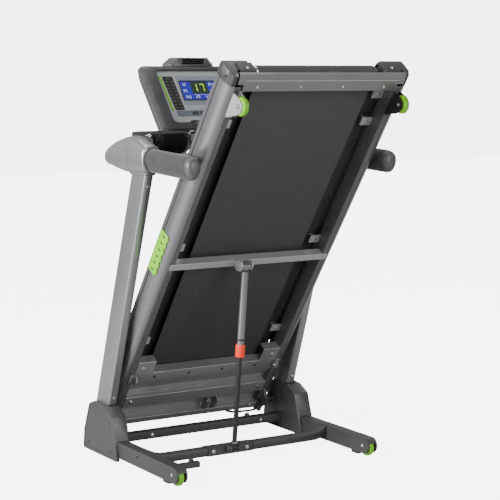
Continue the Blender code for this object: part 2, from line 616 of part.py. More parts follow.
def build_foot_rails(deck):
    for side, sign in SIDES:
        rail = prism(f"foot_rail_{side}", "y", foot_rail_profile(sign), deck_y(1.590), deck_y(0.095),
                     "silver_plastic", deck)
        inner = [(0.3175, 0.0040), (0.3230, 0.0060), (0.3310, 0.0120), (0.3372, 0.0230), (0.3398, 0.0360),
                 (0.3370, 0.0500), (0.3370, 0.0660), (0.3370, 0.0745), (0.3175, 0.0745)]
        hollow = prism(f"foot_rail_hollow_{side}", "y", [(sign * x, w) for x, w in inner],
                       deck_y(1.70), deck_y(0.190), parent=deck)
        clear = disc(f"foot_rail_pin_{side}", "x", (0, 0), 0.0240, *sorted((sign * 0.30, sign * 0.36)),
                     parent=deck, sides=32)
        hood_clear = deck_box(f"foot_rail_hood_{side}", *sorted((sign * 0.20, sign * 0.3060)), 0.0, 0.4310,
                              0.0700, 0.0900, parent=deck)
        cut(rail, hollow, clear, hood_clear)
        cap_outline = rounded([(sign * x, w) for x, w in ((0.3148, 0.0003), (0.3300, 0.0050), (0.3430, 0.0260),
                                                          (0.3450, 0.0600), (0.3440, 0.0845), (0.2500, 0.0845),
                                                          (0.2500, 0.0300), (0.3148, 0.0300))], 0.006, 3)
        cap = loft(f"end_cap_{side}", "y", [
            (deck_y(1.6340), [(sign * 0.2950 + (x - sign * 0.2950) * 0.94, 0.042 + (w - 0.042) * 0.90)
                              for x, w in cap_outline]),
            (deck_y(1.6290), cap_outline),
            (deck_y(1.5905), cap_outline),
        ], "silver_plastic", deck)
        hump = deck_prism(f"cap_hump_{side}",
                          rounded([(1.5905, 0.0080), (1.6340, 0.0080), (1.6350, 0.0140), (1.6385, 0.0220),
                                   (1.6385, 0.0620), (1.6270, 0.0820), (1.6100, 0.0845), (1.5905, 0.0845)], 0.008, 3),
                          *sorted((sign * 0.2460, sign * 0.3020)), parent=deck)
        front_trim = deck_box(f"cap_trim_{side}", -0.36, 0.36, 1.50, 1.5905, -0.01, 0.10, parent=deck)
        weld(cap, hump)
        cut(cap, front_trim)
        roller_clear = disc(f"cap_roller_clear_{side}", "x", (deck_y(REAR_ROLLER_V), ROLLER_W), 0.0245,
                            *sorted((sign * 0.20, sign * 0.2560)), parent=deck, sides=32)
        cut(cap, roller_clear)
    pad_profile = [(0.3405, 0.0215), (0.3439, 0.0350), (0.3449, 0.0500), (0.3449, 0.0740), (0.3479, 0.0740),
                   (0.3479, 0.0500), (0.3469, 0.0345), (0.3433, 0.0200)]
    prism("rail_pad_left", "y", [(-x, w) for x, w in pad_profile], deck_y(0.9700), deck_y(0.8000),
                "green", deck)


def belt_loop(outer_radius):
    """A stadium outline round the two rollers, in deck (v, w)."""
    points = []
    for k in range(17):
        angle = math.pi * (k / 16 - 0.5)
        points.append((REAR_ROLLER_V + outer_radius * math.cos(angle), ROLLER_W + outer_radius * math.sin(angle)))
    for k in range(17):
        angle = math.pi * (k / 16 + 0.5)
        points.append((FRONT_ROLLER_V + outer_radius * math.cos(angle), ROLLER_W + outer_radius * math.sin(angle)))
    return points


def build_running_gear(deck):
    belt = deck_prism("running_belt", belt_loop(ROLLER_R + GAP + BELT_THICK), -BELT_HALF, BELT_HALF, "belt", deck)
    cut(belt, deck_prism("belt_inside", belt_loop(ROLLER_R + GAP), -0.3, 0.3, parent=deck))
    deck_box("deck_board", -0.2700, 0.2700, 0.3760, 1.5700, 0.0600, ROLLER_W + ROLLER_R - 0.0003, "board", deck)

    for name, v in (("front_roller", FRONT_ROLLER_V), ("rear_roller", REAR_ROLLER_V)):
        axis = empty(f"{name}_axis", (0.0, deck_y(v), ROLLER_W), parent=deck)
        profile = [(0.0050, -0.2300), (ROLLER_R - 0.001, -0.2300), (ROLLER_R, -0.2280), (ROLLER_R, 0.2280),
                   (ROLLER_R - 0.001, 0.2300), (0.0050, 0.2300)]
        if name == "front_roller":
            profile = [(0.0050, -0.2540), (0.0360, -0.2540), (0.0350, -0.2520), (0.0350, -0.2400), (0.0360, -0.2380),
                       (0.0130, -0.2380), (0.0130, -0.2300), (ROLLER_R - 0.001, -0.2300), (ROLLER_R, -0.2280),
                       (ROLLER_R, 0.2280), (ROLLER_R - 0.001, 0.2300), (0.0050, 0.2300)]
        lathe(name, "x", (0, 0), profile, "steel", axis, sides=36)

    motor = disc("drive_motor", "x", (deck_y(0.200), 0.0880), 0.0430, -0.1450, 0.0700, "black_steel", deck, sides=32)
    soften(motor, 0.004, 2)
    feet = deck_box("motor_foot", -0.1200, 0.0450, 0.1800, 0.2240, 0.0303, 0.0560, parent=deck)
    weld(motor, feet)
    bore = disc("motor_bore", "x", (deck_y(0.200), 0.0880), 0.0072, -0.20, 0.20, parent=deck, sides=24)
    cut(motor, bore)
    shaft_axis = empty("motor_shaft_axis", (0.0, deck_y(0.200), 0.0880), parent=deck)
    shaft_profile = [(0.0010, -0.2560), (0.0120, -0.2560), (0.0110, -0.2530), (0.0110, -0.2390), (0.0120, -0.2360),
                     (0.0068, -0.2360), (0.0068, 0.0740), (0.0480, 0.0740), (0.0500, 0.0760), (0.0500, 0.0920),
                     (0.0480, 0.0940), (0.0010, 0.0940)]
    lathe("motor_shaft", "x", (0, 0), shaft_profile, "steel", shaft_axis, sides=32)

    # ribbed belt from the motor pulley to the front roller's pulley
    small, large = 0.0110 + GAP, 0.0350 + GAP
    run = FRONT_ROLLER_V - 0.200
    rise = ROLLER_W - 0.0880
    distance = math.hypot(run, rise)
    lean = math.atan2(rise, run)
    wrap = math.acos((large - small) / distance)

    def pulley_loop(extra):
        points = []
        start = lean - (math.pi - wrap)
        for k in range(17):
            angle = start + 2 * (math.pi - wrap) * k / 16
            points.append((FRONT_ROLLER_V + (large + extra) * math.cos(angle),
                           ROLLER_W + (large + extra) * math.sin(angle)))
        start = lean + (math.pi - wrap)
        for k in range(9):
            angle = start + 2 * wrap * k / 8
            points.append((0.200 + (small + extra) * math.cos(angle), 0.0880 + (small + extra) * math.sin(angle)))
        return points

    loop = deck_prism("drive_belt", pulley_loop(0.0025), -0.2510, -0.2410, "rubber", deck)
    cut(loop, deck_prism("drive_belt_inside", pulley_loop(0.0), -0.27, -0.22, parent=deck))


def build_hood(deck):
    outline = rounded([(0.0450, 0.0320), (0.0400, 0.0850), (0.0620, 0.1260), (0.1150, 0.1480), (0.3000, 0.1480),
                       (0.4000, 0.1160), (0.4280, 0.0845)], 0.012, 3)
    hood = deck_prism("motor_hood", outline, -0.3045, 0.3045, "silver_plastic", deck)
    inner = [(0.0480, -0.02), (0.0430, 0.0840), (0.0645, 0.1240), (0.1160, 0.1450), (0.2990, 0.1450),
             (0.3980, 0.1135), (0.4220, 0.0835), (0.4220, -0.02)]
    soften(hood, 0.004, 2, 50)
    cut(hood, deck_prism("hood_inside", inner, -0.2905, 0.2905, parent=deck),
        deck_box("hood_skirt_left", -0.33, -0.2900, 0.0700, 0.50, -0.02, 0.0846, parent=deck),
        deck_box("hood_skirt_right", 0.2900, 0.33, 0.0700, 0.50, -0.02, 0.0846, parent=deck))
    inlet_hole = deck_box("inlet_hole", -0.2250, -0.1950, 0.030, 0.060, 0.0420, 0.0640, parent=deck)
    switch_hole = deck_box("switch_hole", -0.1760, -0.1540, 0.030, 0.060, 0.0420, 0.0640, parent=deck)
    cut(hood, inlet_hole, switch_hole)
    inlet = deck_box("power_inlet", -0.2246, -0.1954, 0.0390, 0.0620, 0.0424, 0.0636, "black_plastic", deck)
    socket = deck_box("inlet_socket", -0.2200, -0.2000, 0.030, 0.0540, 0.0460, 0.0600, parent=deck)
    cut(inlet, socket)
    rocker_axis = empty("rocker_axis", (-0.1650, deck_y(0.0500), 0.0530), parent=deck)
    outline = [(-0.0040, -0.0085), (0.0060, -0.0085), (0.0085, -0.0070), (0.0060, 0.0), (0.0105, 0.0070),
               (0.0090, 0.0085), (-0.0040, 0.0085)]
    prism("power_rocker", "x", outline, -0.0090, 0.0090, "black_plastic", rocker_axis)


# ---------------------------------------------------------------- strut and cable

def build_strut():
    foot = empty("strut_foot_axis", (STRUT_X, FOOT_Y, FOOT_Z), STRUT_LEAN)
    rod = disc("strut_rod", "z", (0, 0), 0.0088, 0.0, 0.3470, "black_steel", foot, sides=24)
    eye = disc("rod_eye", "x", (0, 0), 0.0105, -0.0138, 0.0138, parent=foot, sides=24)
    weld(rod, eye)

    tube = lathe("strut_tube", "z", (0, 0), [
        (0.0092, 0.3330), (0.0122, 0.3330), (0.0122, 0.6440), (0.0092, 0.6440)], "silver_paint", foot, sides=28)
    top = prism("tube_top", "x", rounded([(-0.0120, 0.6380), (0.0120, 0.6380), (0.0130, STRUT_LENGTH),
                                          (0.0, STRUT_LENGTH + 0.0130), (-0.0130, STRUT_LENGTH)], 0.006, 4),
                -0.0172, 0.0172, parent=foot)
    weld(tube, top)
    lathe("lock_sleeve", "z", (0, 0), [(0.0126, 0.3300), (0.0152, 0.3300), (0.0160, 0.3320), (0.0160, 0.3720),
                                       (0.0152, 0.3740), (0.0126, 0.3740)], "orange", foot, sides=32)


def build_cable():
    """The lead from the deck's front tube to the right upright cover, sagging between them."""
    route = [(0.150, 0.372, 0.078), (0.175, 0.352, 0.074), (0.205, 0.335, 0.0770), (0.232, 0.322, 0.0800),
             (0.262, 0.318, 0.0860), (0.292, 0.322, 0.0980), (0.322, 0.330, 0.1120), (0.3483, 0.334, 0.1160)]
    smooth = []
    for index in range(len(route) - 1):
        before = route[max(index - 1, 0)]
        start, end = route[index], route[index + 1]
        after = route[min(index + 2, len(route) - 1)]
        for k in range(4):
            t = k / 4
            smooth.append(tuple(
                0.5 * (2 * start[i] + (end[i] - before[i]) * t
                       + (2 * before[i] - 5 * start[i] + 4 * end[i] - after[i]) * t * t
                       + (3 * start[i] - before[i] - 3 * end[i] + after[i]) * t * t * t) for i in range(3)))
    smooth.append(route[-1])
    curve = bpy.data.curves.new("cable_harness", "CURVE")
    curve.dimensions = "3D"
    curve.bevel_depth = 0.0045
    curve.bevel_resolution = 2
    curve.use_fill_caps = True
    spline = curve.splines.new("POLY")
    spline.points.add(len(smooth) - 1)
    for point, where in zip(spline.points, smooth):
        point.co = (*where, 1.0)
    curve.materials.append(material("rubber"))
    made = bpy.data.objects.new("cable_harness", curve)
    bpy.context.scene.collection.objects.link(made)


def main():
    clear_scene()
    build_rails()
    build_cross_tubes()
    build_uprights()
    build_top()
    build_console()
    deck = empty("deck_hinge", (0.0, HINGE_Y, HINGE_Z), -DECK_TIP)
    build_frame(deck)
    build_foot_rails(deck)
    build_running_gear(deck)
    build_hood(deck)
    build_strut()
    build_cable()
    for item in bpy.data.objects:
        if item.parent is None:
            item.location.y += LAYOUT_SHIFT
    bpy.context.view_layer.update()


main()
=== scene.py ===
"""Looks of the folded treadmill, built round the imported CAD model.

Units are metres, in the CAD model's own frame: +X is the runner's right, +Y the console's side, +Z up.
The deck's pieces are placed in the deck's flat frame: x, v along the deck from its front end, w up from its
underside. The console's pieces are placed in the panel's frame: x, b up the panel, n out of it.
"""

import math

import bmesh
import bpy
from mathutils import Matrix, Vector


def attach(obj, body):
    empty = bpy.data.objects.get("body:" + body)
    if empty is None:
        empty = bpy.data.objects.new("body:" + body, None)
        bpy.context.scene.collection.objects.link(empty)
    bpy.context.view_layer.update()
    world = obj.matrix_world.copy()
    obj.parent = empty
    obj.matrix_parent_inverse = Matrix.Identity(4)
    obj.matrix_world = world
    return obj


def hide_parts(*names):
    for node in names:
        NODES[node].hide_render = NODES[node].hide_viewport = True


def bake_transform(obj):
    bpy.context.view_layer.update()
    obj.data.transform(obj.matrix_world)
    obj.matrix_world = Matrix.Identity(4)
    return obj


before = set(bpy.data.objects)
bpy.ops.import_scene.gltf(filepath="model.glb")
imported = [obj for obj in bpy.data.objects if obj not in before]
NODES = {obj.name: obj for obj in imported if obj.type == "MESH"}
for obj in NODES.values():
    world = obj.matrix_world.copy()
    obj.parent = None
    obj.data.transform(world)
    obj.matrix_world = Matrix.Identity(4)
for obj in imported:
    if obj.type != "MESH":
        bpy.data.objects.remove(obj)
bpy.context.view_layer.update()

SHIFT = 0.00242                 # how far the layout's origin is from the frame's, along y
SIDES = (("left", -1), ("right", 1))

DECK_TIP = math.radians(54.41)
HINGE_V = 0.12
DECK_WHEEL_V = 1.5535           # axles of the deck's and the base's wheels
DECK_WHEEL_W = -0.047
BASE_WHEEL_Y = -0.2125
DECK = Matrix.Translation((0.0, 0.381 + SHIFT, 0.0976)) @ Matrix.Rotation(-DECK_TIP, 4, "X")
CONSOLE_TURN = math.radians(90.0 - 31.7)
CONSOLE = Matrix.Translation((0.0, 0.276 + SHIFT, 1.2405)) @ Matrix.Rotation(CONSOLE_TURN, 4, "X")
BASE = Matrix.Translation((0.0, SHIFT, 0.0))
WORLD = Matrix.Identity(4)
UPRIGHT_SLOPE = 0.3516          # how far the upright leans towards -y for each metre up
UPRIGHT_REAR = 0.3293
UPRIGHT_FRONT = 0.4315
UPRIGHT_INNER = 0.3575
UPRIGHT_OUTER = 0.3895
SIDE_X = 0.38                   # middle of the rails, uprights and grips
STRUT_X = -0.043
STRUT_LEAN = math.radians(6.632)
STRUT = Matrix.Translation((STRUT_X, -0.01 + SHIFT, 0.042)) @ Matrix.Rotation(STRUT_LEAN, 4, "X")


# ---------------------------------------------------------------- camera

def build_camera():
    data = bpy.data.cameras.new("camera")
    data.sensor_width = 36.0
    data.lens = 110.2
    data.clip_end = 60.0
    camera = bpy.data.objects.new("camera", data)
    camera.location = (-2.7307, -4.4707 + SHIFT, 1.3422)
    camera.rotation_euler = (math.pi / 2 - 0.1162, 0.0, -0.5529)
    bpy.context.scene.collection.objects.link(camera)
    bpy.context.scene.camera = camera


# ---------------------------------------------------------------- materials

# the span of values that a noise node mostly gives
NOISE_LOW = 0.3
NOISE_HIGH = 0.7


class Look:
    """A node material round one Principled shader, with texture coordinates in the CAD frame."""

    def __init__(self, name):
        self.material = bpy.data.materials.new(name)
        self.material.use_nodes = True
        self.tree = self.material.node_tree
        self.shader = self.tree.nodes["Principled BSDF"]
        self.place = self.node("ShaderNodeTexCoord").outputs["Object"]
        self.normal = None

    def node(self, kind, **settings):
        made = self.tree.nodes.new(kind)
        for key, value in settings.items():
            setattr(made, key, value)
        return made

    def join(self, output, socket):
        self.tree.links.new(output, socket)

    def fix(self, key, value):
        """Gives one of the shader's own sockets a value that is the same all over."""
        self.shader.inputs[key].default_value = value

    def drive(self, key, output):
        """Feeds one of the shader's sockets from a node."""
        self.join(output, self.shader.inputs[key])

    def noise(self, scale, detail=3.0, stretch=None):
        """A noise value; stretch scales the three axes, so that the grain runs one way."""
        made = self.node("ShaderNodeTexNoise")
        made.inputs["Scale"].default_value = scale
        made.inputs["Detail"].default_value = detail
        place = self.place
        if stretch:
            turn = self.node("ShaderNodeMapping")
            turn.inputs["Scale"].default_value = stretch
            self.join(place, turn.inputs["Vector"])
            place = turn.outputs["Vector"]
        self.join(place, made.inputs["Vector"])
        return made.outputs["Fac"]

    def patches(self, low, high, scale, detail, stretch=None):
        """Noise spread from low to high."""
        return self.ranged(self.noise(scale, detail, stretch), NOISE_LOW, NOISE_HIGH, low, high)

    def ranged(self, value, low, high, new_low, new_high):
        made = self.node("ShaderNodeMapRange")
        self.join(value, made.inputs["Value"])
        for key, number in (("From Min", low), ("From Max", high), ("To Min", new_low), ("To Max", new_high)):
            made.inputs[key].default_value = number
        return made.outputs["Result"]

    def maths(self, operation, first, second):
        made = self.node("ShaderNodeMath", operation=operation)
        for index, value in enumerate((first, second)):
            if isinstance(value, (int, float)):
                made.inputs[index].default_value = value
            else:
                self.join(value, made.inputs[index])
        return made.outputs["Value"]

    def mixed(self, factor, first, second):
        made = self.node("ShaderNodeMix", data_type="RGBA")
        self.join(factor, made.inputs[0])
        for index, value in ((6, first), (7, second)):
            if isinstance(value, tuple):
                made.inputs[index].default_value = (*value, 1.0)
            else:
                self.join(value, made.inputs[index])
        return made.outputs[2]

    def bump(self, height, distance, strength=1.0):
        made = self.node("ShaderNodeBump")
        made.inputs["Distance"].default_value = distance
        made.inputs["Strength"].default_value = strength
        self.join(height, made.inputs["Height"])
        if self.normal:
            self.join(self.normal, made.inputs["Normal"])
        self.normal = made.outputs["Normal"]

    def round_edges(self, radius):
        made = self.node("ShaderNodeBevel", samples=4)
        made.inputs["Radius"].default_value = radius
        self.normal = made.outputs["Normal"]
        return self.normal

    def finished(self):
        if self.normal:
            self.join(self.normal, self.shader.inputs["Normal"])
        return self.material


def shaded(colour, factor):
    return tuple(min(1.0, part * factor) for part in colour)


def deck_place(look):
    """Texture coordinates turned into the deck's frame: x, 0.12 - v, w."""
    back = DECK.inverted()
    turn = look.node("ShaderNodeMapping", vector_type="POINT")
    turn.inputs["Location"].default_value = back.to_translation()
    turn.inputs["Rotation"].default_value = back.to_euler()
    look.join(look.place, turn.inputs["Vector"])
    return turn.outputs["Vector"]


def surface(name, colour, roughness, metallic=0.0, coat=0.0, mottle=0.05, mottle_scale=7.0, gloss_range=0.05,
            grain=0.000008, grain_scale=1400.0, edge=0.0009, flake=0.0, streak=None, dust=0.0):
    """The shared recipe of the hard finishes.

    mottle is broad colour variation, gloss_range the spread of roughness, grain the bump's depth in metres,
    edge the radius that sharp edges are rounded to, flake the sparkle of metallic paint, streak the stretch
    of drawn or brushed grain, and dust the paling of faces that look up.
    """
    look = Look(name)
    look.fix("Metallic", metallic)
    look.fix("Coat Weight", coat)
    look.fix("Coat Roughness", 0.12)
    plain = look.node("ShaderNodeNewGeometry").outputs["Normal"]
    broad = look.patches(0.0, 1.0, mottle_scale, 5.0)
    tint = look.mixed(broad, shaded(colour, 1.0 - mottle), shaded(colour, 1.0 + mottle))
    if flake:
        cells = look.node("ShaderNodeTexVoronoi")
        cells.inputs["Scale"].default_value = 1800.0
        look.join(look.place, cells.inputs["Vector"])
        bright = look.ranged(cells.outputs["Distance"], 0.1, 0.9, flake, 0.0)
        tint = look.mixed(bright, tint, (0.95, 0.95, 0.95))
    if dust:
        split = look.node("ShaderNodeSeparateXYZ")
        look.join(plain, split.inputs["Vector"])
        facing = look.ranged(split.outputs["Z"], 0.3, 1.0, 0.0, dust)
        speckle = look.maths("MULTIPLY", facing, look.noise(60.0, 6.0))
        tint = look.mixed(speckle, tint, (0.55, 0.54, 0.52))
    if edge:
        look.round_edges(edge)
    look.drive("Base Color", tint)
    gloss = look.noise(28.0, 6.0, streak)
    smoothest = max(0.03, roughness - gloss_range)
    look.drive("Roughness", look.ranged(gloss, NOISE_LOW, NOISE_HIGH, smoothest, roughness + gloss_range))
    look.bump(look.noise(grain_scale, 2.0, streak), grain)
    return look.finished()


def belt_look():
    """Woven underside of the running belt: fine crossed threads, dulled unevenly, with painted light that
    pales it towards the deck's top end.
    """
    look = Look("belt_weave")
    place = deck_place(look)
    heights = []
    for axis in ("X", "Y"):
        wave = look.node("ShaderNodeTexWave", wave_type="BANDS", bands_direction=axis)
        wave.inputs["Scale"].default_value = 210.0
        wave.inputs["Distortion"].default_value = 0.6
        wave.inputs["Detail"].default_value = 1.0
        look.join(place, wave.inputs["Vector"])
        heights.append(wave.outputs["Fac"])
    weave = look.maths("MAXIMUM", *heights)
    broad = look.patches(0.0, 1.0, 1.6, 2.0)
    tint = look.mixed(broad, (0.02, 0.0192, 0.0196), (0.0225, 0.0216, 0.0222))
    split = look.node("ShaderNodeSeparateXYZ")
    look.join(place, split.inputs["Vector"])
    # painted light: the colour pales steadily towards the deck's top end
    painted_top_light = look.ranged(split.outputs["Y"], -0.2, -1.45, 0.0, 0.55)
    tint = look.mixed(painted_top_light, tint, (0.058, 0.057, 0.059))
    lit = look.ranged(weave, 0.2, 1.0, 0.0, 0.3)
    tint = look.mixed(lit, tint, (0.04, 0.039, 0.041))
    scuffs = look.ranged(look.noise(9.0, 8.0, (1.0, 0.08, 0.08)), 0.62, 0.8, 0.0, 0.05)
    tint = look.mixed(scuffs, tint, (0.06, 0.06, 0.06))
    look.drive("Base Color", tint)
    look.drive("Roughness", look.patches(0.56, 0.72, 30.0, 5.0))
    look.bump(weave, 0.00005)
    return look.finished()


def foam_look():
    """Closed-cell grip foam: fine pores in a soft dull skin, with painted shade darkening each pore."""
    look = Look("grip_foam")
    look.fix("Sheen Weight", 0.15)
    look.fix("Sheen Roughness", 0.5)
    broad = look.patches(0.0, 1.0, 24.0, 5.0)
    tint = look.mixed(broad, (0.014, 0.014, 0.015), (0.02, 0.02, 0.022))
    pores = look.node("ShaderNodeTexVoronoi")
    pores.inputs["Scale"].default_value = 750.0
    look.join(look.place, pores.inputs["Vector"])
    depth = look.ranged(pores.outputs["Distance"], 0.0, 0.55, 0.0, 1.0)
    # painted shade: each pore is darkened towards its middle
    dark = look.ranged(pores.outputs["Distance"], 0.0, 0.25, 0.55, 0.0)
    tint = look.mixed(dark, tint, (0.007, 0.007, 0.008))
    look.drive("Base Color", tint)
    look.drive("Roughness", look.patches(0.72, 0.9, 60.0, 4.0))
    look.bump(depth, 0.00008)
    look.bump(look.noise(180.0, 4.0), 0.0001)
    return look.finished()


def board_look():
    """Black-faced fibre board with a faint mottled grain."""
    look = Look("deck_board_face")
    broad = look.patches(0.0, 1.0, 14.0, 8.0, (1.0, 0.25, 0.25))
    look.drive("Base Color", look.mixed(broad, (0.006, 0.006, 0.006), (0.018, 0.017, 0.017)))
    look.drive("Roughness", look.patches(0.4, 0.62, 50.0, 5.0))
    look.round_edges(0.0008)
    look.bump(look.noise(500.0, 5.0), 0.0001)
    return look.finished()


def screen_look():
    """Backlit liquid-crystal glass: blue, with a fine dot grid and a softly uneven backlight."""
    look = Look("screen_blue")
    turn = look.node("ShaderNodeMapping", vector_type="POINT")
    back = CONSOLE.inverted()
    turn.inputs["Location"].default_value = back.to_translation()
    turn.inputs["Rotation"].default_value = back.to_euler()
    look.join(look.place, turn.inputs["Vector"])
    lines = []
    for axis in ("X", "Y"):
        wave = look.node("ShaderNodeTexWave", wave_type="BANDS", bands_direction=axis)
        wave.inputs["Scale"].default_value = 330.0
        look.join(turn.outputs["Vector"], wave.inputs["Vector"])
        lines.append(wave.outputs["Fac"])
    grid = look.ranged(look.maths("MINIMUM", *lines), 0.05, 0.4, 0.0, 1.0)
    glow = look.patches(0.0, 1.0, 16.0, 3.0)
    blue = look.mixed(glow, (0.006, 0.008, 0.3), (0.014, 0.016, 0.44))
    tint = look.mixed(grid, (0.004, 0.005, 0.17), blue)
    look.drive("Base Color", tint)
    look.drive("Emission Color", tint)
    look.fix("Emission Strength", 0.55)
    look.drive("Roughness", look.patches(0.1, 0.2, 40.0, 4.0))
    look.fix("Coat Weight", 0.6)
    look.bump(look.noise(300.0, 2.0), 0.00001)
    return look.finished()


def glowing_look(name, colour, strength):
    look = Look(name)
    patch = look.patches(0.0, 1.0, 220.0, 3.0)
    tint = look.mixed(patch, shaded(colour, 0.85), colour)
    look.drive("Base Color", tint)
    look.drive("Emission Color", tint)
    look.fix("Emission Strength", strength)
    look.drive("Roughness", look.patches(0.3, 0.45, 90.0, 3.0))
    return look.finished()


def bezel_look():
    """Console shell: dark with a fine grain, and painted light on its chamfered sides, which are a little
    lighter than the face towards the runner.
    """
    look = Look("bezel_shell")
    plain = look.node("ShaderNodeNewGeometry").outputs["Normal"]
    out = (CONSOLE.to_3x3() @ Vector((0.0, 0.0, 1.0))).normalized()
    dot = look.node("ShaderNodeVectorMath", operation="DOT_PRODUCT")
    look.join(plain, dot.inputs[0])
    dot.inputs[1].default_value = out
    face = look.ranged(dot.outputs["Value"], 0.93, 0.97, 0.0, 1.0)
    broad = look.patches(0.0, 1.0, 18.0, 5.0)
    # painted light: the chamfered sides get a lighter tone than the face
    side = look.mixed(broad, (0.036, 0.036, 0.039), (0.046, 0.046, 0.05))
    front = look.mixed(broad, (0.03, 0.03, 0.033), (0.042, 0.042, 0.046))
    look.drive("Base Color", look.mixed(face, side, front))
    look.drive("Roughness", look.patches(0.34, 0.5, 40.0, 5.0))
    look.round_edges(0.0012)
    look.bump(look.noise(1300.0, 2.0), 0.00001)
    return look.finished()


def tube_look():
    """Deck side tubes: dark satin paint, with painted light and shade on the wheel forks, bright on the left
    and black on the right.
    """
    look = Look("deck_tube_paint")
    place = deck_place(look)
    split = look.node("ShaderNodeSeparateXYZ")
    look.join(place, split.inputs["Vector"])
    below = look.ranged(split.outputs["Z"], -0.001, -0.0014, 0.0, 1.0)
    far = look.ranged(split.outputs["Y"], -1.35, -1.352, 0.0, 1.0)
    left = look.ranged(split.outputs["X"], 0.01, -0.01, 0.0, 1.0)
    fork = look.maths("MULTIPLY", below, far)
    broad = look.patches(0.0, 1.0, 5.0, 5.0)
    paint = look.mixed(broad, (0.095, 0.093, 0.094), (0.115, 0.113, 0.114))
    # painted light and shade: the left fork is coloured bright as lit, the right one black as shaded
    plate = look.mixed(left, (0.02, 0.02, 0.021), (0.33, 0.33, 0.325))
    look.drive("Base Color", look.mixed(fork, paint, plate))
    look.fix("Metallic", 0.35)
    look.drive("Roughness", look.patches(0.36, 0.52, 30.0, 6.0))
    look.round_edges(0.0016)
    look.bump(look.noise(1100.0, 2.0), 0.00001)
    return look.finished()


# colour, roughness and the recipe's other settings
DRAWN = (0.08, 1.0, 1.0)
HARD_FINISHES = {
    "silver_paint": ((0.31, 0.312, 0.326), 0.31, dict(metallic=0.8, flake=0.01, mottle=0.03, edge=0.0012,
        gloss_range=0.015, grain=0.000002)),
    "rail_paint": ((0.046, 0.045, 0.044), 0.45, dict(metallic=0.35, flake=0.01, mottle=0.05, edge=0.0012,
        gloss_range=0.03, grain=0.000004)),
    "frame_paint": ((0.3, 0.298, 0.294), 0.34, dict(metallic=0.65, flake=0.01, mottle=0.05, edge=0.0012,
        gloss_range=0.03, grain=0.000004)),
    "grey_plastic": ((0.055, 0.055, 0.059), 0.42, dict(mottle=0.06, grain=0.00003, grain_scale=1000.0,
        edge=0.002, dust=0.05)),
    "cover_plastic": ((0.036, 0.036, 0.039), 0.42, dict(mottle=0.06, grain=0.00004, grain_scale=850.0,
        edge=0.0025, dust=0.05)),
    "silver_plastic": ((0.045, 0.045, 0.048), 0.33, dict(metallic=0.5, coat=0.2, flake=0.02, mottle=0.04,
        edge=0.002)),
    "rail_plastic": ((0.235, 0.233, 0.245), 0.3, dict(metallic=0.8, mottle=0.03, streak=(1.0, 0.12, 0.12),
        edge=0.001, gloss_range=0.02, grain=0.000002)),
    "shell_silver": ((0.33, 0.33, 0.34), 0.28, dict(metallic=0.75, coat=0.2, flake=0.01, mottle=0.02,
        edge=0.0, gloss_range=0.015, grain=0.000002)),
    "hood_plastic": ((0.3, 0.3, 0.308), 0.38, dict(metallic=0.3, mottle=0.05, edge=0.003, dust=0.1)),
    "black_plastic": ((0.02, 0.02, 0.021), 0.38, dict(mottle=0.12, grain=0.00003, grain_scale=900.0,
        edge=0.001)),
    "black_gloss": ((0.01, 0.01, 0.011), 0.16, dict(coat=0.4, mottle=0.15, edge=0.0015, gloss_range=0.05,
        grain=0.00001)),
    "keypad": ((0.012, 0.013, 0.013), 0.3, dict(mottle=0.12, edge=0.0004, grain=0.00001)),
    "key": ((0.022, 0.023, 0.022), 0.34, dict(mottle=0.1, edge=0.0005, grain=0.00001)),
    "panel_grey": ((0.36, 0.372, 0.392), 0.4, dict(metallic=0.3, mottle=0.03, edge=0.0005, streak=DRAWN)),
    "panel_blue": ((0.205, 0.225, 0.265), 0.34, dict(metallic=0.2, mottle=0.04, edge=0.0005)),
    "panel_deep": ((0.12, 0.135, 0.165), 0.34, dict(metallic=0.2, mottle=0.05, edge=0.0005)),
    "panel_silver": ((0.48, 0.49, 0.505), 0.3, dict(metallic=0.6, mottle=0.03, edge=0.0005,
        streak=DRAWN)),
    "rubber": ((0.018, 0.018, 0.018), 0.62, dict(mottle=0.2, grain=0.00012, grain_scale=700.0,
        edge=0.0012)),
    "lime": ((0.15, 0.47, 0.001), 0.45, dict(mottle=0.06, grain=0.00003, edge=0.0012, coat=0.1)),
    # painted shade: the dark lime fills the pad's slots and the wheels' tread grooves
    "lime_painted_shade": ((0.016, 0.05, 0.002), 0.5, dict(mottle=0.1, grain=0.00005, edge=0.0006)),
    "orange": ((0.8, 0.035, 0.008), 0.4, dict(mottle=0.07, grain=0.00005, edge=0.0008)),
    "steel": ((0.56, 0.56, 0.555), 0.26, dict(metallic=1.0, mottle=0.05, streak=DRAWN, edge=0.0006,
        gloss_range=0.1)),
    "zinc": ((0.62, 0.62, 0.6), 0.24, dict(metallic=1.0, mottle=0.08, edge=0.0004, gloss_range=0.1)),
    "tube_chrome": ((0.25, 0.25, 0.248), 0.27, dict(metallic=0.8, mottle=0.04, streak=(1.0, 1.0, 0.06),
        edge=0.0006)),
    "black_steel": ((0.03, 0.029, 0.029), 0.4, dict(metallic=0.6, mottle=0.12, edge=0.0008)),
    "olive_metal": ((0.085, 0.084, 0.066), 0.45, dict(metallic=0.4, mottle=0.1, edge=0.0004)),
    "cushion": ((0.075, 0.074, 0.074), 0.55, dict(mottle=0.1, grain=0.0001, edge=0.001)),
    "plate_silver": ((0.24, 0.238, 0.248), 0.33, dict(metallic=0.7, mottle=0.04, edge=0.0005,
        gloss_range=0.02, grain=0.000003)),
    "mid_silver": ((0.4, 0.4, 0.394), 0.33, dict(metallic=0.6, flake=0.01, mottle=0.04, edge=0.0006,
        gloss_range=0.02, grain=0.000003)),
    # painted highlight for the thin rods along the cross members' edges
    "highlight_edge_paint": ((0.56, 0.558, 0.55), 0.3, dict(metallic=0.6, mottle=0.08, edge=0.0, gloss_range=0.03,
        grain=0.000002)),
}


LOOKS = {}


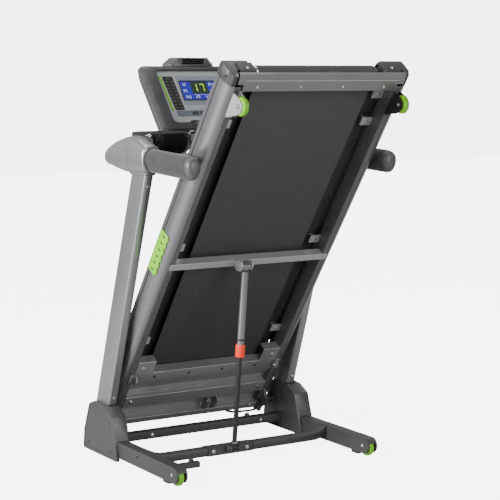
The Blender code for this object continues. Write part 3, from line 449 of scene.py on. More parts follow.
def build_looks():
    for name, (colour, roughness, settings) in HARD_FINISHES.items():
        LOOKS[name] = surface(name, colour, roughness, **settings)
    LOOKS.update({
        "belt": belt_look(),
        "foam": foam_look(),
        "board": board_look(),
        "screen": screen_look(),
        "bezel": bezel_look(),
        "deck_tube": tube_look(),
        "window": glowing_look("screen_window", (0.01, 0.03, 0.012), 0.25),
        "digit": glowing_look("screen_digit", (0.48, 0.72, 0.04), 0.6),
        "mark": glowing_look("screen_mark", (0.62, 0.66, 0.9), 0.5),
        "key_mark": glowing_look("key_mark", (0.16, 0.155, 0.15), 0.1),
    })


# ---------------------------------------------------------------- carried-over CAD nodes

NODE_LOOKS = {
    "silver_paint": ["upright_left", "upright_right"],
    "rail_paint": ["base_rail_left", "base_rail_right", "base_front_tube", "base_rear_tube"],
    "frame_paint": ["pan_cross", "motor_cross", "front_cross"],
    "mid_silver": ["mid_cross"],
    "plate_silver": ["rear_plate"],
    "deck_tube": ["deck_tube_left", "deck_tube_right"],
    "cover_plastic": ["base_cover_left", "base_cover_right"],
    "grey_plastic": ["console_back", "console_base", "fan_housing", "start_button", "stop_button"],
    "bezel": ["console_bezel"],
    "black_plastic": ["pulse_bar", "fan_rotor", "power_inlet", "power_rocker"],
    "black_gloss": ["tray_left", "tray_right"],
    "panel_grey": ["console_panel"],
    "screen": ["display_window"],
    "rail_plastic": ["foot_rail_left", "foot_rail_right"],
    "silver_plastic": ["end_cap_left", "end_cap_right"],
    "hood_plastic": ["motor_hood"],
    "rubber": ["rear_foot_left", "rear_foot_right", "front_foot_left", "front_foot_right", "bumper_pad",
               "drive_belt"],
    "lime": ["base_wheel_left", "base_wheel_right", "deck_wheel_left", "deck_wheel_right"],
    "orange": ["safety_key", "lock_sleeve"],
    "steel": ["front_roller", "rear_roller", "motor_shaft"],
    "tube_chrome": ["strut_tube"],
    "black_steel": ["strut_rod", "drive_motor"],
    "belt": ["running_belt"],
    "board": ["deck_board"],
}


SHARP_ANGLE = 32.0


def smooth_group():
    """Geometry nodes that shade smooth with edges over SHARP_ANGLE degrees kept sharp."""
    group = bpy.data.node_groups.new("smooth_by_angle", "GeometryNodeTree")
    group.interface.new_socket("Geometry", in_out="INPUT", socket_type="NodeSocketGeometry")
    group.interface.new_socket("Geometry", in_out="OUTPUT", socket_type="NodeSocketGeometry")
    start = group.nodes.new("NodeGroupInput")
    end = group.nodes.new("NodeGroupOutput")
    faces = group.nodes.new("GeometryNodeSetShadeSmooth")
    faces.domain = "FACE"
    edges = group.nodes.new("GeometryNodeSetShadeSmooth")
    edges.domain = "EDGE"
    edges.inputs["Shade Smooth"].default_value = False
    angle = group.nodes.new("GeometryNodeInputMeshEdgeAngle")
    sharp = group.nodes.new("FunctionNodeCompare")
    sharp.data_type = "FLOAT"
    sharp.operation = "GREATER_THAN"
    sharp.inputs["B"].default_value = math.radians(SHARP_ANGLE)
    links = group.links
    links.new(start.outputs[0], faces.inputs["Geometry"])
    links.new(faces.outputs[0], edges.inputs["Geometry"])
    links.new(angle.outputs["Unsigned Angle"], sharp.inputs["A"])
    links.new(sharp.outputs[0], edges.inputs["Selection"])
    links.new(edges.outputs[0], end.inputs[0])
    return group


def dress_nodes():
    group = smooth_group()
    for look, names in NODE_LOOKS.items():
        for name in names:
            node = NODES[name]
            node.data.materials.clear()
            node.data.materials.append(LOOKS[look])
            normals = node.data.attributes.get("custom_normal")
            if normals:
                node.data.attributes.remove(normals)
            weld = node.modifiers.new("weld", "WELD")
            weld.merge_threshold = 0.00001
            smooth = node.modifiers.new("smooth", "NODES")
            smooth.node_group = group


# ---------------------------------------------------------------- mesh helpers

# the slot name for each look, which finish_piece looks up for a new piece unless it names another
SLOTS = {"black_gloss": "black_plastic", "black_plastic": "black_plastic", "black_steel": "black_steel",
    "cover_plastic": "grey_plastic", "cushion": "belt", "digit": "screen", "foam": "foam",
    "highlight_edge_paint": "silver_paint", "frame_paint": "dark_paint", "grey_plastic": "grey_plastic",
    "key": "black_plastic", "key_mark": "panel_face", "lime": "green", "lime_painted_shade": "green",
    "mark": "screen", "mid_silver": "dark_paint", "olive_metal": "dark_paint", "orange": "orange",
    "rubber": "rubber", "shell_silver": "silver_plastic", "steel": "steel", "zinc": "steel"}


def finish_piece(name, shape, look, body, place=BASE, slot=None, angle=35.0):
    """Turns a bmesh in its local frame into a piece that rides on a body."""
    bmesh.ops.recalc_face_normals(shape, faces=shape.faces)
    mesh = bpy.data.meshes.new(name)
    shape.to_mesh(mesh)
    shape.free()
    mesh.transform(place)
    mesh.shade_smooth()
    mesh.set_sharp_from_angle(angle=math.radians(angle))
    mesh.materials.append(LOOKS[look])
    piece = bpy.data.objects.new(name, mesh)
    bpy.context.scene.collection.objects.link(piece)
    slot = slot or SLOTS[look]
    if body:
        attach(piece, body)
    return piece


def ring(shape, points):
    return [shape.verts.new(point) for point in points]


def skin(shape, near, far):
    count = len(near)
    for index in range(count):
        after = (index + 1) % count
        shape.faces.new((near[index], near[after], far[after], far[index]))


def add_loft(shape, sections, closed=True):
    """Rings of equal point counts, skinned; the first and last are filled when closed."""
    rings = [ring(shape, points) for points in sections]
    for near, far in zip(rings, rings[1:]):
        skin(shape, near, far)
    if closed:
        shape.faces.new(rings[0])
        shape.faces.new(rings[-1])
    return rings


def laid(axis, along, p, q):
    """The point p, q of the plane across an axis, at a place along it."""
    return {"x": (along, p, q), "y": (p, along, q), "z": (p, q, along)}[axis]


def add_block(shape, outline, low, high, axis="z"):
    """An outline pulled straight along an axis."""
    add_loft(shape, [[laid(axis, along, p, q) for p, q in outline] for along in (low, high)])


def add_plate(shape, outline, low, high, axis="z"):
    """An outline pulled along an axis, with its top edge chamfered."""
    middle = (sum(p for p, q in outline) / len(outline), sum(q for p, q in outline) / len(outline))
    lift = min(0.0004, 0.4 * abs(high - low))
    drawn = []
    for along, inset in ((low, 0.0), (high - math.copysign(lift, high - low), 0.0), (high, lift)):
        points = []
        for p, q in outline:
            reach = math.hypot(p - middle[0], q - middle[1])
            factor = 1.0 - inset / max(reach, inset * 2)
            spot = (middle[0] + (p - middle[0]) * factor, middle[1] + (q - middle[1]) * factor)
            points.append(laid(axis, along, *spot))
        drawn.append(points)
    add_loft(shape, drawn)


def add_lathe(shape, place, profile, sides=24):
    """A profile of (radius, height) turned round the local z of place; radius 0 closes the form."""
    rings = []
    for radius, height in profile:
        angles = [2 * math.pi * k / sides for k in range(sides if radius else 1)]
        points = [(radius * math.cos(angle), radius * math.sin(angle), height) for angle in angles]
        rings.append(ring(shape, [place @ Vector(point) for point in points]))
    for near, far in zip(rings, rings[1:]):
        for k in range(sides):
            after = (k + 1) % sides
            if len(near) == 1:
                shape.faces.new((near[0], far[after], far[k]))
            elif len(far) == 1:
                shape.faces.new((near[k], near[after], far[0]))
            else:
                shape.faces.new((near[k], near[after], far[after], far[k]))


def towards(point, direction):
    """A frame at a point with its z along a direction."""
    return Matrix.Translation(point) @ Vector(direction).to_track_quat("Z", "Y").to_matrix().to_4x4()


def hex_head(radius, height):
    """The profiles of a hexagon bolt head and its washer."""
    wide = radius * 1.35
    washer = [(0.0, 0.0), (wide, 0.0), (wide, height * 0.18), (radius * 1.05, height * 0.22)]
    return washer, [(0.0, height * 0.2), (radius, height * 0.2), (radius, height * 0.86),
                    (radius * 0.82, height), (0.0, height)]


def socket_head(radius, height):
    """A button head with a socket sunk in it."""
    return [(0.0, 0.0), (radius, 0.0), (radius * 0.98, height * 0.45), (radius * 0.72, height * 0.92),
            (radius * 0.48, height), (radius * 0.42, height), (radius * 0.4, height * 0.45),
            (0.0, height * 0.4)]


def add_bolt(shape, point, direction, radius, height, kind="socket"):
    place = towards(point, direction)
    if kind == "hex":
        washer, head = hex_head(radius, height)
        add_lathe(shape, place, washer + [(0.0, height * 0.22)], 24)
        add_lathe(shape, place, head, 6)
    else:
        add_lathe(shape, place, socket_head(radius, height), 20)


def superellipse(half_wide, half_tall, power, sides):
    points = []
    for k in range(sides):
        angle = 2 * math.pi * (k + 0.5) / sides
        c, s = math.cos(angle), math.sin(angle)
        points.append((half_wide * math.copysign(abs(c) ** (2 / power), c),
                       half_tall * math.copysign(abs(s) ** (2 / power), s)))
    return points


def rounded(points, radius, steps=5):
    """An outline with its corners turned into arcs."""
    result = []
    count = len(points)
    for index in range(count):
        corner = Vector(points[index])
        before = Vector(points[index - 1]) - corner
        after = Vector(points[(index + 1) % count]) - corner
        half = before.angle(after) / 2
        back = min(radius / math.tan(half), 0.45 * before.length, 0.45 * after.length)
        start = corner + before.normalized() * back
        end = corner + after.normalized() * back
        for k in range(steps + 1):
            t = k / steps
            result.append(tuple(start * (1 - t) ** 2 + corner * (2 * t * (1 - t)) + end * t ** 2))
    return result


def rectangle(low_p, low_q, high_p, high_q):
    return [(low_p, low_q), (high_p, low_q), (high_p, high_q), (low_p, high_q)]


def smooth_path(route, steps):
    """A Catmull-Rom curve through the route's points."""
    points = []
    for index in range(len(route) - 1):
        before = Vector(route[max(index - 1, 0)])
        start, end = Vector(route[index]), Vector(route[index + 1])
        after = Vector(route[min(index + 2, len(route) - 1)])
        for k in range(steps):
            t = k / steps
            square = 2 * before - 5 * start + 4 * end - after
            cube = 3 * start - before - 3 * end + after
            points.append(0.5 * (2 * start + (end - before) * t + square * t ** 2 + cube * t ** 3))
    points.append(Vector(route[-1]))
    return points


def add_tube(shape, path, radii, sides=16):
    """A tube along a path, its sections square to it and turned as little as possible."""
    up = Vector((0.0, 0.0, 1.0))
    rings = []
    for index, point in enumerate(path):
        ahead = path[min(index + 1, len(path) - 1)] - path[max(index - 1, 0)]
        ahead.normalize()
        side = ahead.cross(up).normalized()
        lift = side.cross(ahead).normalized()
        radius = radii[index]
        rings.append([point + side * (radius * math.cos(2 * math.pi * k / sides))
                      + lift * (radius * math.sin(2 * math.pi * k / sides)) for k in range(sides)])
    add_loft(shape, rings)


def deck_point(x, v, w):
    return (x, HINGE_V - v, w)


def upright_outline(sign, height, grow, radius):
    """The upright's section at a height, grown outwards."""
    rear = UPRIGHT_REAR - UPRIGHT_SLOPE * height - grow
    front = UPRIGHT_FRONT - UPRIGHT_SLOPE * height + grow
    low, high = sorted((sign * UPRIGHT_INNER, sign * UPRIGHT_OUTER))
    return rounded(rectangle(low - grow, rear, high + grow, front), radius, 4)


# ---------------------------------------------------------------- cable

CABLE_ROUTE = [(0.15, 0.372, 0.078), (0.175, 0.352, 0.074), (0.205, 0.335, 0.077), (0.232, 0.322, 0.08),
               (0.262, 0.318, 0.086), (0.292, 0.322, 0.098), (0.322, 0.33, 0.112), (0.3483, 0.334, 0.116)]
CABLE_RADIUS = 0.0045


def build_cable():
    """Ribbed conduit from the deck's front tube to the right cover."""
    shift = Vector((0.0, SHIFT, 0.0))
    path = [point + shift for point in smooth_path(CABLE_ROUTE, 18)]
    radii = [CABLE_RADIUS if index % 3 == 0 else CABLE_RADIUS * 0.9 for index in range(len(path))]
    shape = bmesh.new()
    add_tube(shape, path, radii, 18)
    piece = finish_piece("cable_conduit", shape, "rubber", None, WORLD, angle=60.0)
    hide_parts("cable_harness")
    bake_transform(piece)


# ---------------------------------------------------------------- top of the uprights

SHELL_POWER = 2.9               # how square the shells' sections are
# along y, half width, half height and middle height of each section
SHOULDER_SECTIONS = [
    (-0.049, 0.03, 0.04, 1.057), (-0.045, 0.0335, 0.044, 1.0572), (-0.02, 0.0348, 0.052, 1.06),
    (0.03, 0.0352, 0.0608, 1.069), (0.09, 0.0352, 0.0598, 1.067), (0.15, 0.0342, 0.05, 1.064),
    (0.2, 0.032, 0.0375, 1.0605), (0.232, 0.0285, 0.0275, 1.055), (0.247, 0.023, 0.019, 1.0515),
    (0.252, 0.015, 0.01, 1.05),
]


def build_shoulders():
    for side, sign in SIDES:
        centre = sign * SIDE_X
        dense = smooth_path([(along, wide, tall) for along, wide, tall, middle in SHOULDER_SECTIONS], 4)
        mids = smooth_path([(along, middle, 0.0) for along, wide, tall, middle in SHOULDER_SECTIONS], 4)
        sections = []
        for (along, wide, tall), (_, middle, _) in zip(dense, mids):
            outline = superellipse(wide, tall, SHELL_POWER, 40)
            sections.append([(centre + p, along, middle + q) for p, q in outline])
        shape = bmesh.new()
        add_loft(shape, sections)
        # collar where the upright comes up into the shell
        collar = []
        for height, grow in ((1.002, 0.004), (1.0035, 0.006), (1.026, 0.006), (1.03, 0.002)):
            collar.append([(p, q, height) for p, q in upright_outline(sign, height, grow, 0.01)])
        add_loft(shape, collar)
        shell = finish_piece(f"shoulder_shell_{side}", shape, "shell_silver", "base")
        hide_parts(f"shoulder_{side}")

        # parting line round the shell
        line = bmesh.new()
        outer = [(centre + p, q + 1.0682) for p, q in superellipse(0.0356, 0.0614, SHELL_POWER, 40)]
        add_block(line, outer, 0.0585, 0.0597, "y")
        finish_piece(f"shoulder_seam_{side}", line, "black_plastic", "base")

        # thin fin between the shell and the tray, with its black cap plate and two screws
        fin = bmesh.new()
        inner = sign * 0.343
        outline = rounded([(0.002, 1.09), (0.062, 1.09), (0.05, 1.127), (0.012, 1.127)], 0.008, 4)
        add_block(fin, outline, inner, inner + sign * 0.01, "x")
        finish_piece(f"tray_fin_{side}", fin, "shell_silver", "base")
        cap = bmesh.new()
        add_plate(cap, rounded([(sign * 0.339, 0.006), (sign * 0.356, 0.006), (sign * 0.356, 0.056),
                                (sign * 0.339, 0.056)], 0.006, 4), 1.127, 1.1295)
        finish_piece(f"fin_plate_{side}", cap, "black_gloss", "base")
        screws = bmesh.new()
        for along in (0.016, 0.046):
            add_bolt(screws, (sign * 0.3475, along, 1.1295), (0, 0, 1), 0.0036, 0.0022)
        finish_piece(f"fin_screws_{side}", screws, "zinc", "base")


def egg(half_wide, half_tall, sides=48):
    points = []
    for k in range(sides):
        angle = 2 * math.pi * (k + 0.5) / sides
        height = math.sin(angle)
        points.append((half_wide * (1.0 + 0.2 * height) * math.cos(angle), half_tall * height))
    return points


def grip_section(centre, along, scale, grow=0.0):
    middle = 1.0395 + 0.045 * (along + 0.34)
    return [(centre + p, along, middle + q) for p, q in egg(0.027 * scale + grow, 0.0385 * scale + grow)]


def build_grips():
    for side, sign in SIDES:
        centre = sign * SIDE_X
        foam = bmesh.new()
        stops = [-0.312, -0.3105, -0.308] + [-0.3 + 0.04 * k for k in range(6)] + [-0.06, -0.058]
        sections = []
        for index, along in enumerate(stops):
            scale = {0: 0.955, 1: 0.98}.get(index, 0.982 if index == len(stops) - 1 else 1.0)
            sections.append(grip_section(centre, along, scale))
        add_loft(foam, sections)
        piece = finish_piece(f"grip_foam_{side}", foam, "foam", "base")
        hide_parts(f"grip_{side}")

        cap = bmesh.new()
        dome = ((-0.34, 0.18), (-0.3396, 0.36), (-0.3385, 0.55), (-0.336, 0.72), (-0.332, 0.85),
                (-0.326, 0.93), (-0.318, 0.965), (-0.312, 0.97), (-0.3118, 0.9))
        add_loft(cap, [grip_section(centre, along, scale) for along, scale in dome])
        finish_piece(f"grip_end_{side}", cap, "grey_plastic", "base", angle=50.0)

        collar = bmesh.new()
        add_loft(collar, [grip_section(centre, along, scale) for along, scale in
                          ((-0.0582, 0.96), (-0.0578, 1.02), (-0.05, 1.03), (-0.044, 1.000))])
        finish_piece(f"grip_ring_{side}", collar, "black_plastic", "base")


TRAY_Y = 0.1175


def build_trays():
    for side, sign in SIDES:
        middle = sign * 0.253
        liner = bmesh.new()
        sections = []
        for half, height in ((0.0765, 1.1386), (0.074, 1.1392), (0.0722, 1.137), (0.0712, 1.12),
                             (0.069, 1.096), (0.063, 1.083), (0.052, 1.0775), (0.03, 1.0765)):
            radius = min(0.046, half * 0.8)
            square = rectangle(middle - half, TRAY_Y - half, middle + half, TRAY_Y + half)
            outline = rounded(square, radius, 6)
            sections.append([(p, q, height) for p, q in outline])
        rings = add_loft(liner, sections, closed=False)
        liner.faces.new(rings[-1])
        back = [ring(liner, [(middle + (v.co.x - middle) * 1.006, TRAY_Y + (v.co.y - TRAY_Y) * 1.006,
                              v.co.z - 0.0006) for v in loop]) for loop in rings]
        for near, far in zip(back, back[1:]):
            skin(liner, near, far)
        liner.faces.new(back[-1])
        skin(liner, rings[0], back[0])
        finish_piece(f"tray_liner_{side}", liner, "black_gloss", "base", angle=60.0)

    plates = bmesh.new()
    for sign in (-1, 1):
        outline = rounded(rectangle(0.1112, 1.0442, 0.1553, 1.0623), 0.0068, 5)
        for low, high in ((0.196, 0.2045), (0.11, 0.193)):
            add_block(plates, outline, sign * low, sign * high, "x")
    finish_piece("pulse_plates", plates, "steel", "base")


# ---------------------------------------------------------------- console

SEGMENTS = {
    "0": "abcdef", "1": "bc", "2": "abdeg", "3": "abcdg", "4": "bcfg", "5": "acdfg", "7": "abc",
}


def add_digit(shape, digit, x, b, wide, tall, thick, low, high):
    """One seven-segment digit with its lower left corner at x, b."""
    half = tall / 2
    right, top = x + wide, b + tall
    bars = {
        "a": (x, top - thick, right, top), "g": (x, b + half - thick / 2, right, b + half + thick / 2),
        "d": (x, b, right, b + thick), "f": (x, b + half, x + thick, top), "e": (x, b, x + thick, b + half),
        "b": (right - thick, b + half, right, top), "c": (right - thick, b, right, b + half),
    }
    gap = thick * 0.18
    for segment in SEGMENTS[digit]:
        x0, b0, x1, b1 = bars[segment]
        if x1 - x0 > b1 - b0:
            outline = rectangle(x0 + gap, b0, x1 - gap, b1)
        else:
            outline = rectangle(x0, b0 + gap, x1, b1 - gap)
        add_plate(shape, rounded(outline, thick * 0.3, 2), low, high)


def build_console():
    def piece(name, outlines, low, high, look, slot="panel_face"):
        shape = bmesh.new()
        for outline in outlines:
            add_plate(shape, outline, low, high)
        return finish_piece(name, shape, look, "base", CONSOLE, slot)

    face, proud = 0.0048, 0.0056
    strip = [(-0.1372, -0.045), (-0.1295, -0.045), (-0.1455, 0.097), (-0.1535, 0.097)]
    piece("panel_lime_strip", [rounded(strip, 0.003)], face, 0.0064, "lime", "green")
    piece("keypad_plate", [rounded([(-0.123, -0.0425), (-0.086, -0.0425), (-0.0985, 0.095), (-0.14, 0.095)],
                                   0.005)], face, proud, "keypad", "black_plastic")
    piece("field_upper", [rounded([(-0.08, -0.0215), (0.144, -0.0215), (0.157, 0.096), (-0.09, 0.096)],
                                  0.006)], face, 0.0053, "panel_blue")
    piece("field_band", [rounded([(-0.078, -0.04), (0.142, -0.04), (0.144, -0.0225), (-0.08, -0.0225)],
                                 0.003)], face, 0.0055, "panel_silver")
    piece("field_lower", [rounded([(-0.12, -0.068), (0.138, -0.068), (0.1415, -0.0415), (-0.123, -0.045)],
                                  0.006)], face, 0.0053, "panel_deep")
    piece("panel_head_band", [rounded([(-0.156, 0.0985), (-0.001, 0.0985), (-0.001, 0.115), (-0.157, 0.115)],
                                      0.006),
                              rounded([(0.001, 0.0985), (0.156, 0.0985), (0.157, 0.115), (0.001, 0.115)],
                                      0.006)], face, 0.0057, "panel_silver")

    # keys in the keypad: a wide one on top, then two columns
    keys = bmesh.new()
    marks = bmesh.new()
    rows = 9
    for row in range(rows + 1):
        height = 0.085 - row * 0.0132
        shift = (0.085 - height) * 0.115
        centres = (-0.119,) if row == 0 else (-0.1285, -0.1085)
        for centre in centres:
            x = centre + shift
            half = 0.012 if row == 0 else 0.0078
            add_plate(keys, rounded(rectangle(x - half, height - 0.004, x + half, height + 0.004), 0.002, 3),
                      proud, 0.0066)
            mark = half * 0.45
            line = rectangle(x - mark, height - 0.0009, x + mark, height + 0.0009)
            add_plate(marks, rounded(line, 0.0006, 2), 0.0066, 0.0068)
    finish_piece("keypad_keys", keys, "key", "base", CONSOLE)
    finish_piece("keypad_marks", marks, "key_mark", "base", CONSOLE)

    # display: dark window with two large digits, rows of small readings round it
    glass = 0.0056
    outline = rounded(rectangle(-0.0345, 0.0235, 0.0335, 0.0725), 0.002)
    piece("display_frame", [outline], glass, 0.0058, "window", "screen")
    digits = bmesh.new()
    add_digit(digits, "1", -0.027, 0.033, 0.017, 0.031, 0.0038, 0.0058, 0.006)
    add_digit(digits, "7", 0.002, 0.033, 0.017, 0.031, 0.0038, 0.0058, 0.006)
    finish_piece("display_digits", digits, "digit", "base", CONSOLE)
    small = bmesh.new()
    readings = ((-0.07, 0.056, "12"), (-0.07, 0.03, "35"), (0.04, 0.056, "04"), (0.04, 0.03, "20"),
                (-0.07, 0.005, "105"), (-0.025, 0.005, "23"), (0.015, 0.005, "42"), (0.048, 0.005, "10"))
    for x, b, text in readings:
        for index, digit in enumerate(text):
            add_digit(small, digit, x + index * 0.0095, b, 0.006, 0.011, 0.0012, glass, 0.0058)
    for k in range(9):
        x = -0.03 + k * 0.0072
        add_plate(small, rectangle(x, 0.019, x + 0.0045, 0.0205), glass, 0.0058)
    finish_piece("display_readings", small, "mark", "base", CONSOLE)
    piece("display_surround", [rounded(rectangle(-0.079, -0.0035, 0.079, 0.0000), 0.001),
                               rounded(rectangle(-0.079, 0.074, 0.079, 0.0775), 0.001),
                               rounded(rectangle(-0.079, 0.0000, -0.0759, 0.074), 0.001),
                               rounded(rectangle(0.0759, 0.0000, 0.079, 0.074), 0.001)],
          0.005, 0.0066, "black_gloss", "black_plastic")

    # quick keys under the display, the tab by the dock, and rings round the buttons and the key
    quick = bmesh.new()
    for k in range(6):
        x = -0.06 + k * 0.033
        add_plate(quick, rounded(rectangle(x, -0.06, x + 0.024, -0.049), 0.004, 4), 0.0053, 0.0066)
    finish_piece("quick_keys", quick, "key", "base", CONSOLE)
    rings = bmesh.new()
    for x, radius in ((-0.042, 0.0122), (0.042, 0.0122), (0.0, 0.0168)):
        place = CONSOLE @ Matrix.Translation((x, -0.101, 0.0036))
        add_lathe(rings, place, [(radius, 0.0), (radius + 0.0022, 0.0), (radius + 0.002, 0.0012),
                                 (radius + 0.0004, 0.0012), (radius, 0.0)], 40)
    finish_piece("dock_rings", rings, "steel", "base", WORLD)
    piece("dock_tab", [rounded(rectangle(-0.093, -0.131, -0.076, -0.124), 0.002)], 0.004, 0.0075,
          "panel_silver")

    # fan mouth: louvre bars across the front
    bars = bmesh.new()
    for index in range(3):
        low = 1.368 + index * 0.0068
        add_plate(bars, rounded(rectangle(-0.046, low + 0.004, 0.046, low + 0.006), 0.0008, 2),
                  0.356, 0.3425, "y")
    finish_piece("fan_louvres", bars, "black_gloss", "base")

    # screws on the console's back
    screws = bmesh.new()
    for x, b in ((-0.15, 0.08), (0.15, 0.08), (-0.13, -0.06), (0.13, -0.06)):
        add_bolt(screws, CONSOLE @ Vector((x, b, -0.0735 if abs(b) > 0.07 else -0.0745)),
                 CONSOLE.to_3x3() @ Vector((0, 0, -1)), 0.004, 0.0022)
    finish_piece("console_screws", screws, "black_steel", "base", WORLD)


# ---------------------------------------------------------------- deck

def build_deck_details():
    bright = bmesh.new()
    dark = bmesh.new()
    for side, sign in SIDES:
        # cushions between the side tabs and the board, with a bolt up through each
        cushions = bmesh.new()
        tabs = bmesh.new()
        for v in (0.467, 0.9, 1.417, 1.528):
            inner, outer = sign * 0.2505, sign * 0.27
            outline = rounded(rectangle(inner, HINGE_V - v - 0.014, outer, HINGE_V - v + 0.014), 0.005, 3)
            add_block(cushions, outline, 0.048, 0.06)
            add_bolt(bright, deck_point(sign * 0.272, v, 0.0438), (0, 0, -1), 0.0042, 0.0034, "hex")
            near, far = sorted((sign * 0.252, sign * 0.2935))
            pad = rounded(rectangle(near, HINGE_V - v - 0.0165, far, HINGE_V - v + 0.0165), 0.002, 3)
            add_block(tabs, pad, 0.0438, 0.0449)
        finish_piece(f"board_cushions_{side}", cushions, "cushion", "deck", DECK, "rubber")
        finish_piece(f"cushion_tabs_{side}", tabs, "mid_silver", "deck", DECK)

        # olive edge strip of the rail's flange beside the board
        strip = bmesh.new()
        for low, high in ((0.37, 0.83), (0.88, 1.56)):
            x0, x1 = sorted((sign * 0.2705, sign * 0.294))
            outline = rectangle(x0, HINGE_V - high, x1, HINGE_V - low)
            add_block(strip, outline, 0.0798, 0.0809)
        finish_piece(f"flange_strip_{side}", strip, "olive_metal", "deck", DECK)

        # black closing strip between the board's front end and the rail, under the hood's rear edge
        bridge = bmesh.new()
        x0, x1 = sorted((sign * 0.2705, sign * 0.3138))
        outline = rounded(rectangle(x0, HINGE_V - 0.448, x1, HINGE_V - 0.37), 0.002, 3)
        add_block(bridge, outline, 0.0766, 0.0778)
        finish_piece(f"rail_bridge_{side}", bridge, "black_plastic", "deck", DECK)

        # black insert in the foot rail's groove
        insert = bmesh.new()
        x0, x1 = sorted((sign * 0.3404, sign * 0.3428))
        outline = rounded(rectangle(x0, 0.0562, x1, 0.0608), 0.001, 3)
        add_block(insert, outline, HINGE_V - 0.096, HINGE_V - 1.588, "y")
        finish_piece(f"rail_groove_{side}", insert, "rubber", "deck", DECK)

        # ribbed tread on top of the foot rail
        tread = bmesh.new()
        for k in range(9):
            x = sign * (0.248 + k * 0.0095)
            low, high = sorted((x, x + sign * 0.0048))
            outline = rounded(rectangle(low, 0.0838, high, 0.0852), 0.0006, 2)
            add_block(tread, outline, HINGE_V - 0.435, HINGE_V - 1.585, "y")
        finish_piece(f"foot_tread_{side}", tread, "rubber", "deck", DECK)

        # bracket and bolt of the front roller under each tube
        bracket = bmesh.new()
        outline = rounded([(0.308, -0.0005), (0.346, -0.0005), (0.344, -0.018), (0.327, -0.025),
                           (0.31, -0.018)], 0.005, 4)
        ends = (sign * 0.29, sign * 0.294)
        add_loft(bracket, [[(x, HINGE_V - v, w) for v, w in outline] for x in ends])
        ends = (sign * 0.294, sign * 0.312)
        flat = rounded(rectangle(0.308, -0.003, 0.346, -0.0005), 0.001, 2)
        add_loft(bracket, [[(x, HINGE_V - v, w) for v, w in flat] for x in ends])
        finish_piece(f"roller_bracket_{side}", bracket, "frame_paint", "deck", DECK)
        add_bolt(bright, deck_point(sign * 0.29, 0.327, -0.013), (-sign, 0, 0), 0.0066, 0.006, "hex")

        # end cap: black slot and the roller's adjusting bolt on its rear face
        slot = bmesh.new()
        outline = rounded([(sign * 0.254, 0.028), (sign * 0.295, 0.028), (sign * 0.295, 0.042),
                           (sign * 0.254, 0.042)], 0.006, 5)
        add_plate(slot, outline, HINGE_V - 1.638, HINGE_V - 1.6392, "y")
        finish_piece(f"cap_slot_{side}", slot, "black_plastic", "deck", DECK)
        add_bolt(bright, deck_point(sign * 0.274, 1.639, 0.035), (0, -1, 0), 0.0052, 0.003)
        add_bolt(dark, deck_point(sign * 0.3445, 1.612, 0.03), (sign, 0, -0.12), 0.0042, 0.0022)

        # screws on the outer face of the deck's side
        for v in (0.25, 0.62, 1.13, 1.48) if sign > 0 else (0.25,):
            add_bolt(dark, deck_point(sign * 0.3424, v, 0.03), (sign, 0, -0.23), 0.004, 0.0018)

        # hinge pin's cap over the pivot
        add_bolt(bright, (sign * 0.316, 0.0, 0.0), (-sign, 0, 0), 0.006, 0.001)
        # fork bolts over the CAD heads
        for x, direction in ((0.3212, sign), (0.2865, -sign)):
            head = deck_point(sign * x, DECK_WHEEL_V, DECK_WHEEL_W)
            add_bolt(bright, head, (direction, 0, 0), 0.005, 0.0026, "hex")

    # rear plate's screws
    for x in (-0.24, -0.08, 0.08, 0.24):
        add_bolt(bright, deck_point(x, 1.592, -0.0026), (0, 0, -1), 0.0046, 0.0024)
    # cross members
    for x in (-0.173, -0.105, 0.06, 0.17):
        add_bolt(dark, deck_point(x, 0.16, 0.028), (0, 0, -1), 0.0052, 0.004, "hex")
    for x in (-0.21, -0.07, 0.07, 0.21):
        add_bolt(dark, deck_point(x, 0.326, 0.0006), (0, 0, -1), 0.005, 0.003)
    for x in (-0.268, 0.268):
        add_bolt(bright, deck_point(x, 0.374, 0.0000), (0, 0, -1), 0.006, 0.0048, "hex")
        add_bolt(bright, deck_point(x, 0.202, 0.0000), (0, 0, -1), 0.006, 0.0048, "hex")
        add_bolt(bright, deck_point(x, 0.098, 0.0000), (0, 0, -1), 0.005, 0.004, "hex")
    for x in (0.06, 0.1):
        side = -1 if x < 0.08 else 1
        add_bolt(bright, deck_point(x, 0.16, -0.004), (side, 0, 0), 0.005, 0.004, "hex")
    finish_piece("deck_bolts_bright", bright, "zinc", "deck", DECK)
    finish_piece("deck_bolts_dark", dark, "black_steel", "deck", DECK)

    # painted highlights: thin bright rods along the cross members' folded edges
    edge_highlights = bmesh.new()
    for v, w, low, high in ((0.347, 0.0002, -0.222, 0.222), (0.4028, 0.0002, -0.293, -0.224),
                            (0.4028, 0.0002, 0.224, 0.293), (0.226, 0.0002, -0.293, 0.293),
                            (0.178, 0.0282, -0.293, 0.293), (0.111, 0.0002, -0.293, 0.293),
                            (0.867, -0.0023, -0.312, 0.312), (1.6165, -0.0026, -0.289, 0.289)):
        place = towards(deck_point(low, v, w), (1, 0, 0))
        add_lathe(edge_highlights, place, [(0.0, 0.0), (0.001, 0.0), (0.001, high - low), (0.0, high - low)], 10)
    finish_piece("member_edge_highlights", edge_highlights, "highlight_edge_paint", "deck", DECK, angle=60.0)

    # edge strips along the running belt's stitched borders
    hems = bmesh.new()
    for sign in (-1, 1):
        for offset in (0.006, 0.0095):
            x = sign * (0.2225 - offset)
            outline = rectangle(x - 0.0004, 0.03745, x + 0.0004, 0.0378)
            add_block(hems, outline, HINGE_V - 0.335, HINGE_V - 1.6, "y")
    finish_piece("belt_hems", hems, "cushion", "deck", DECK)


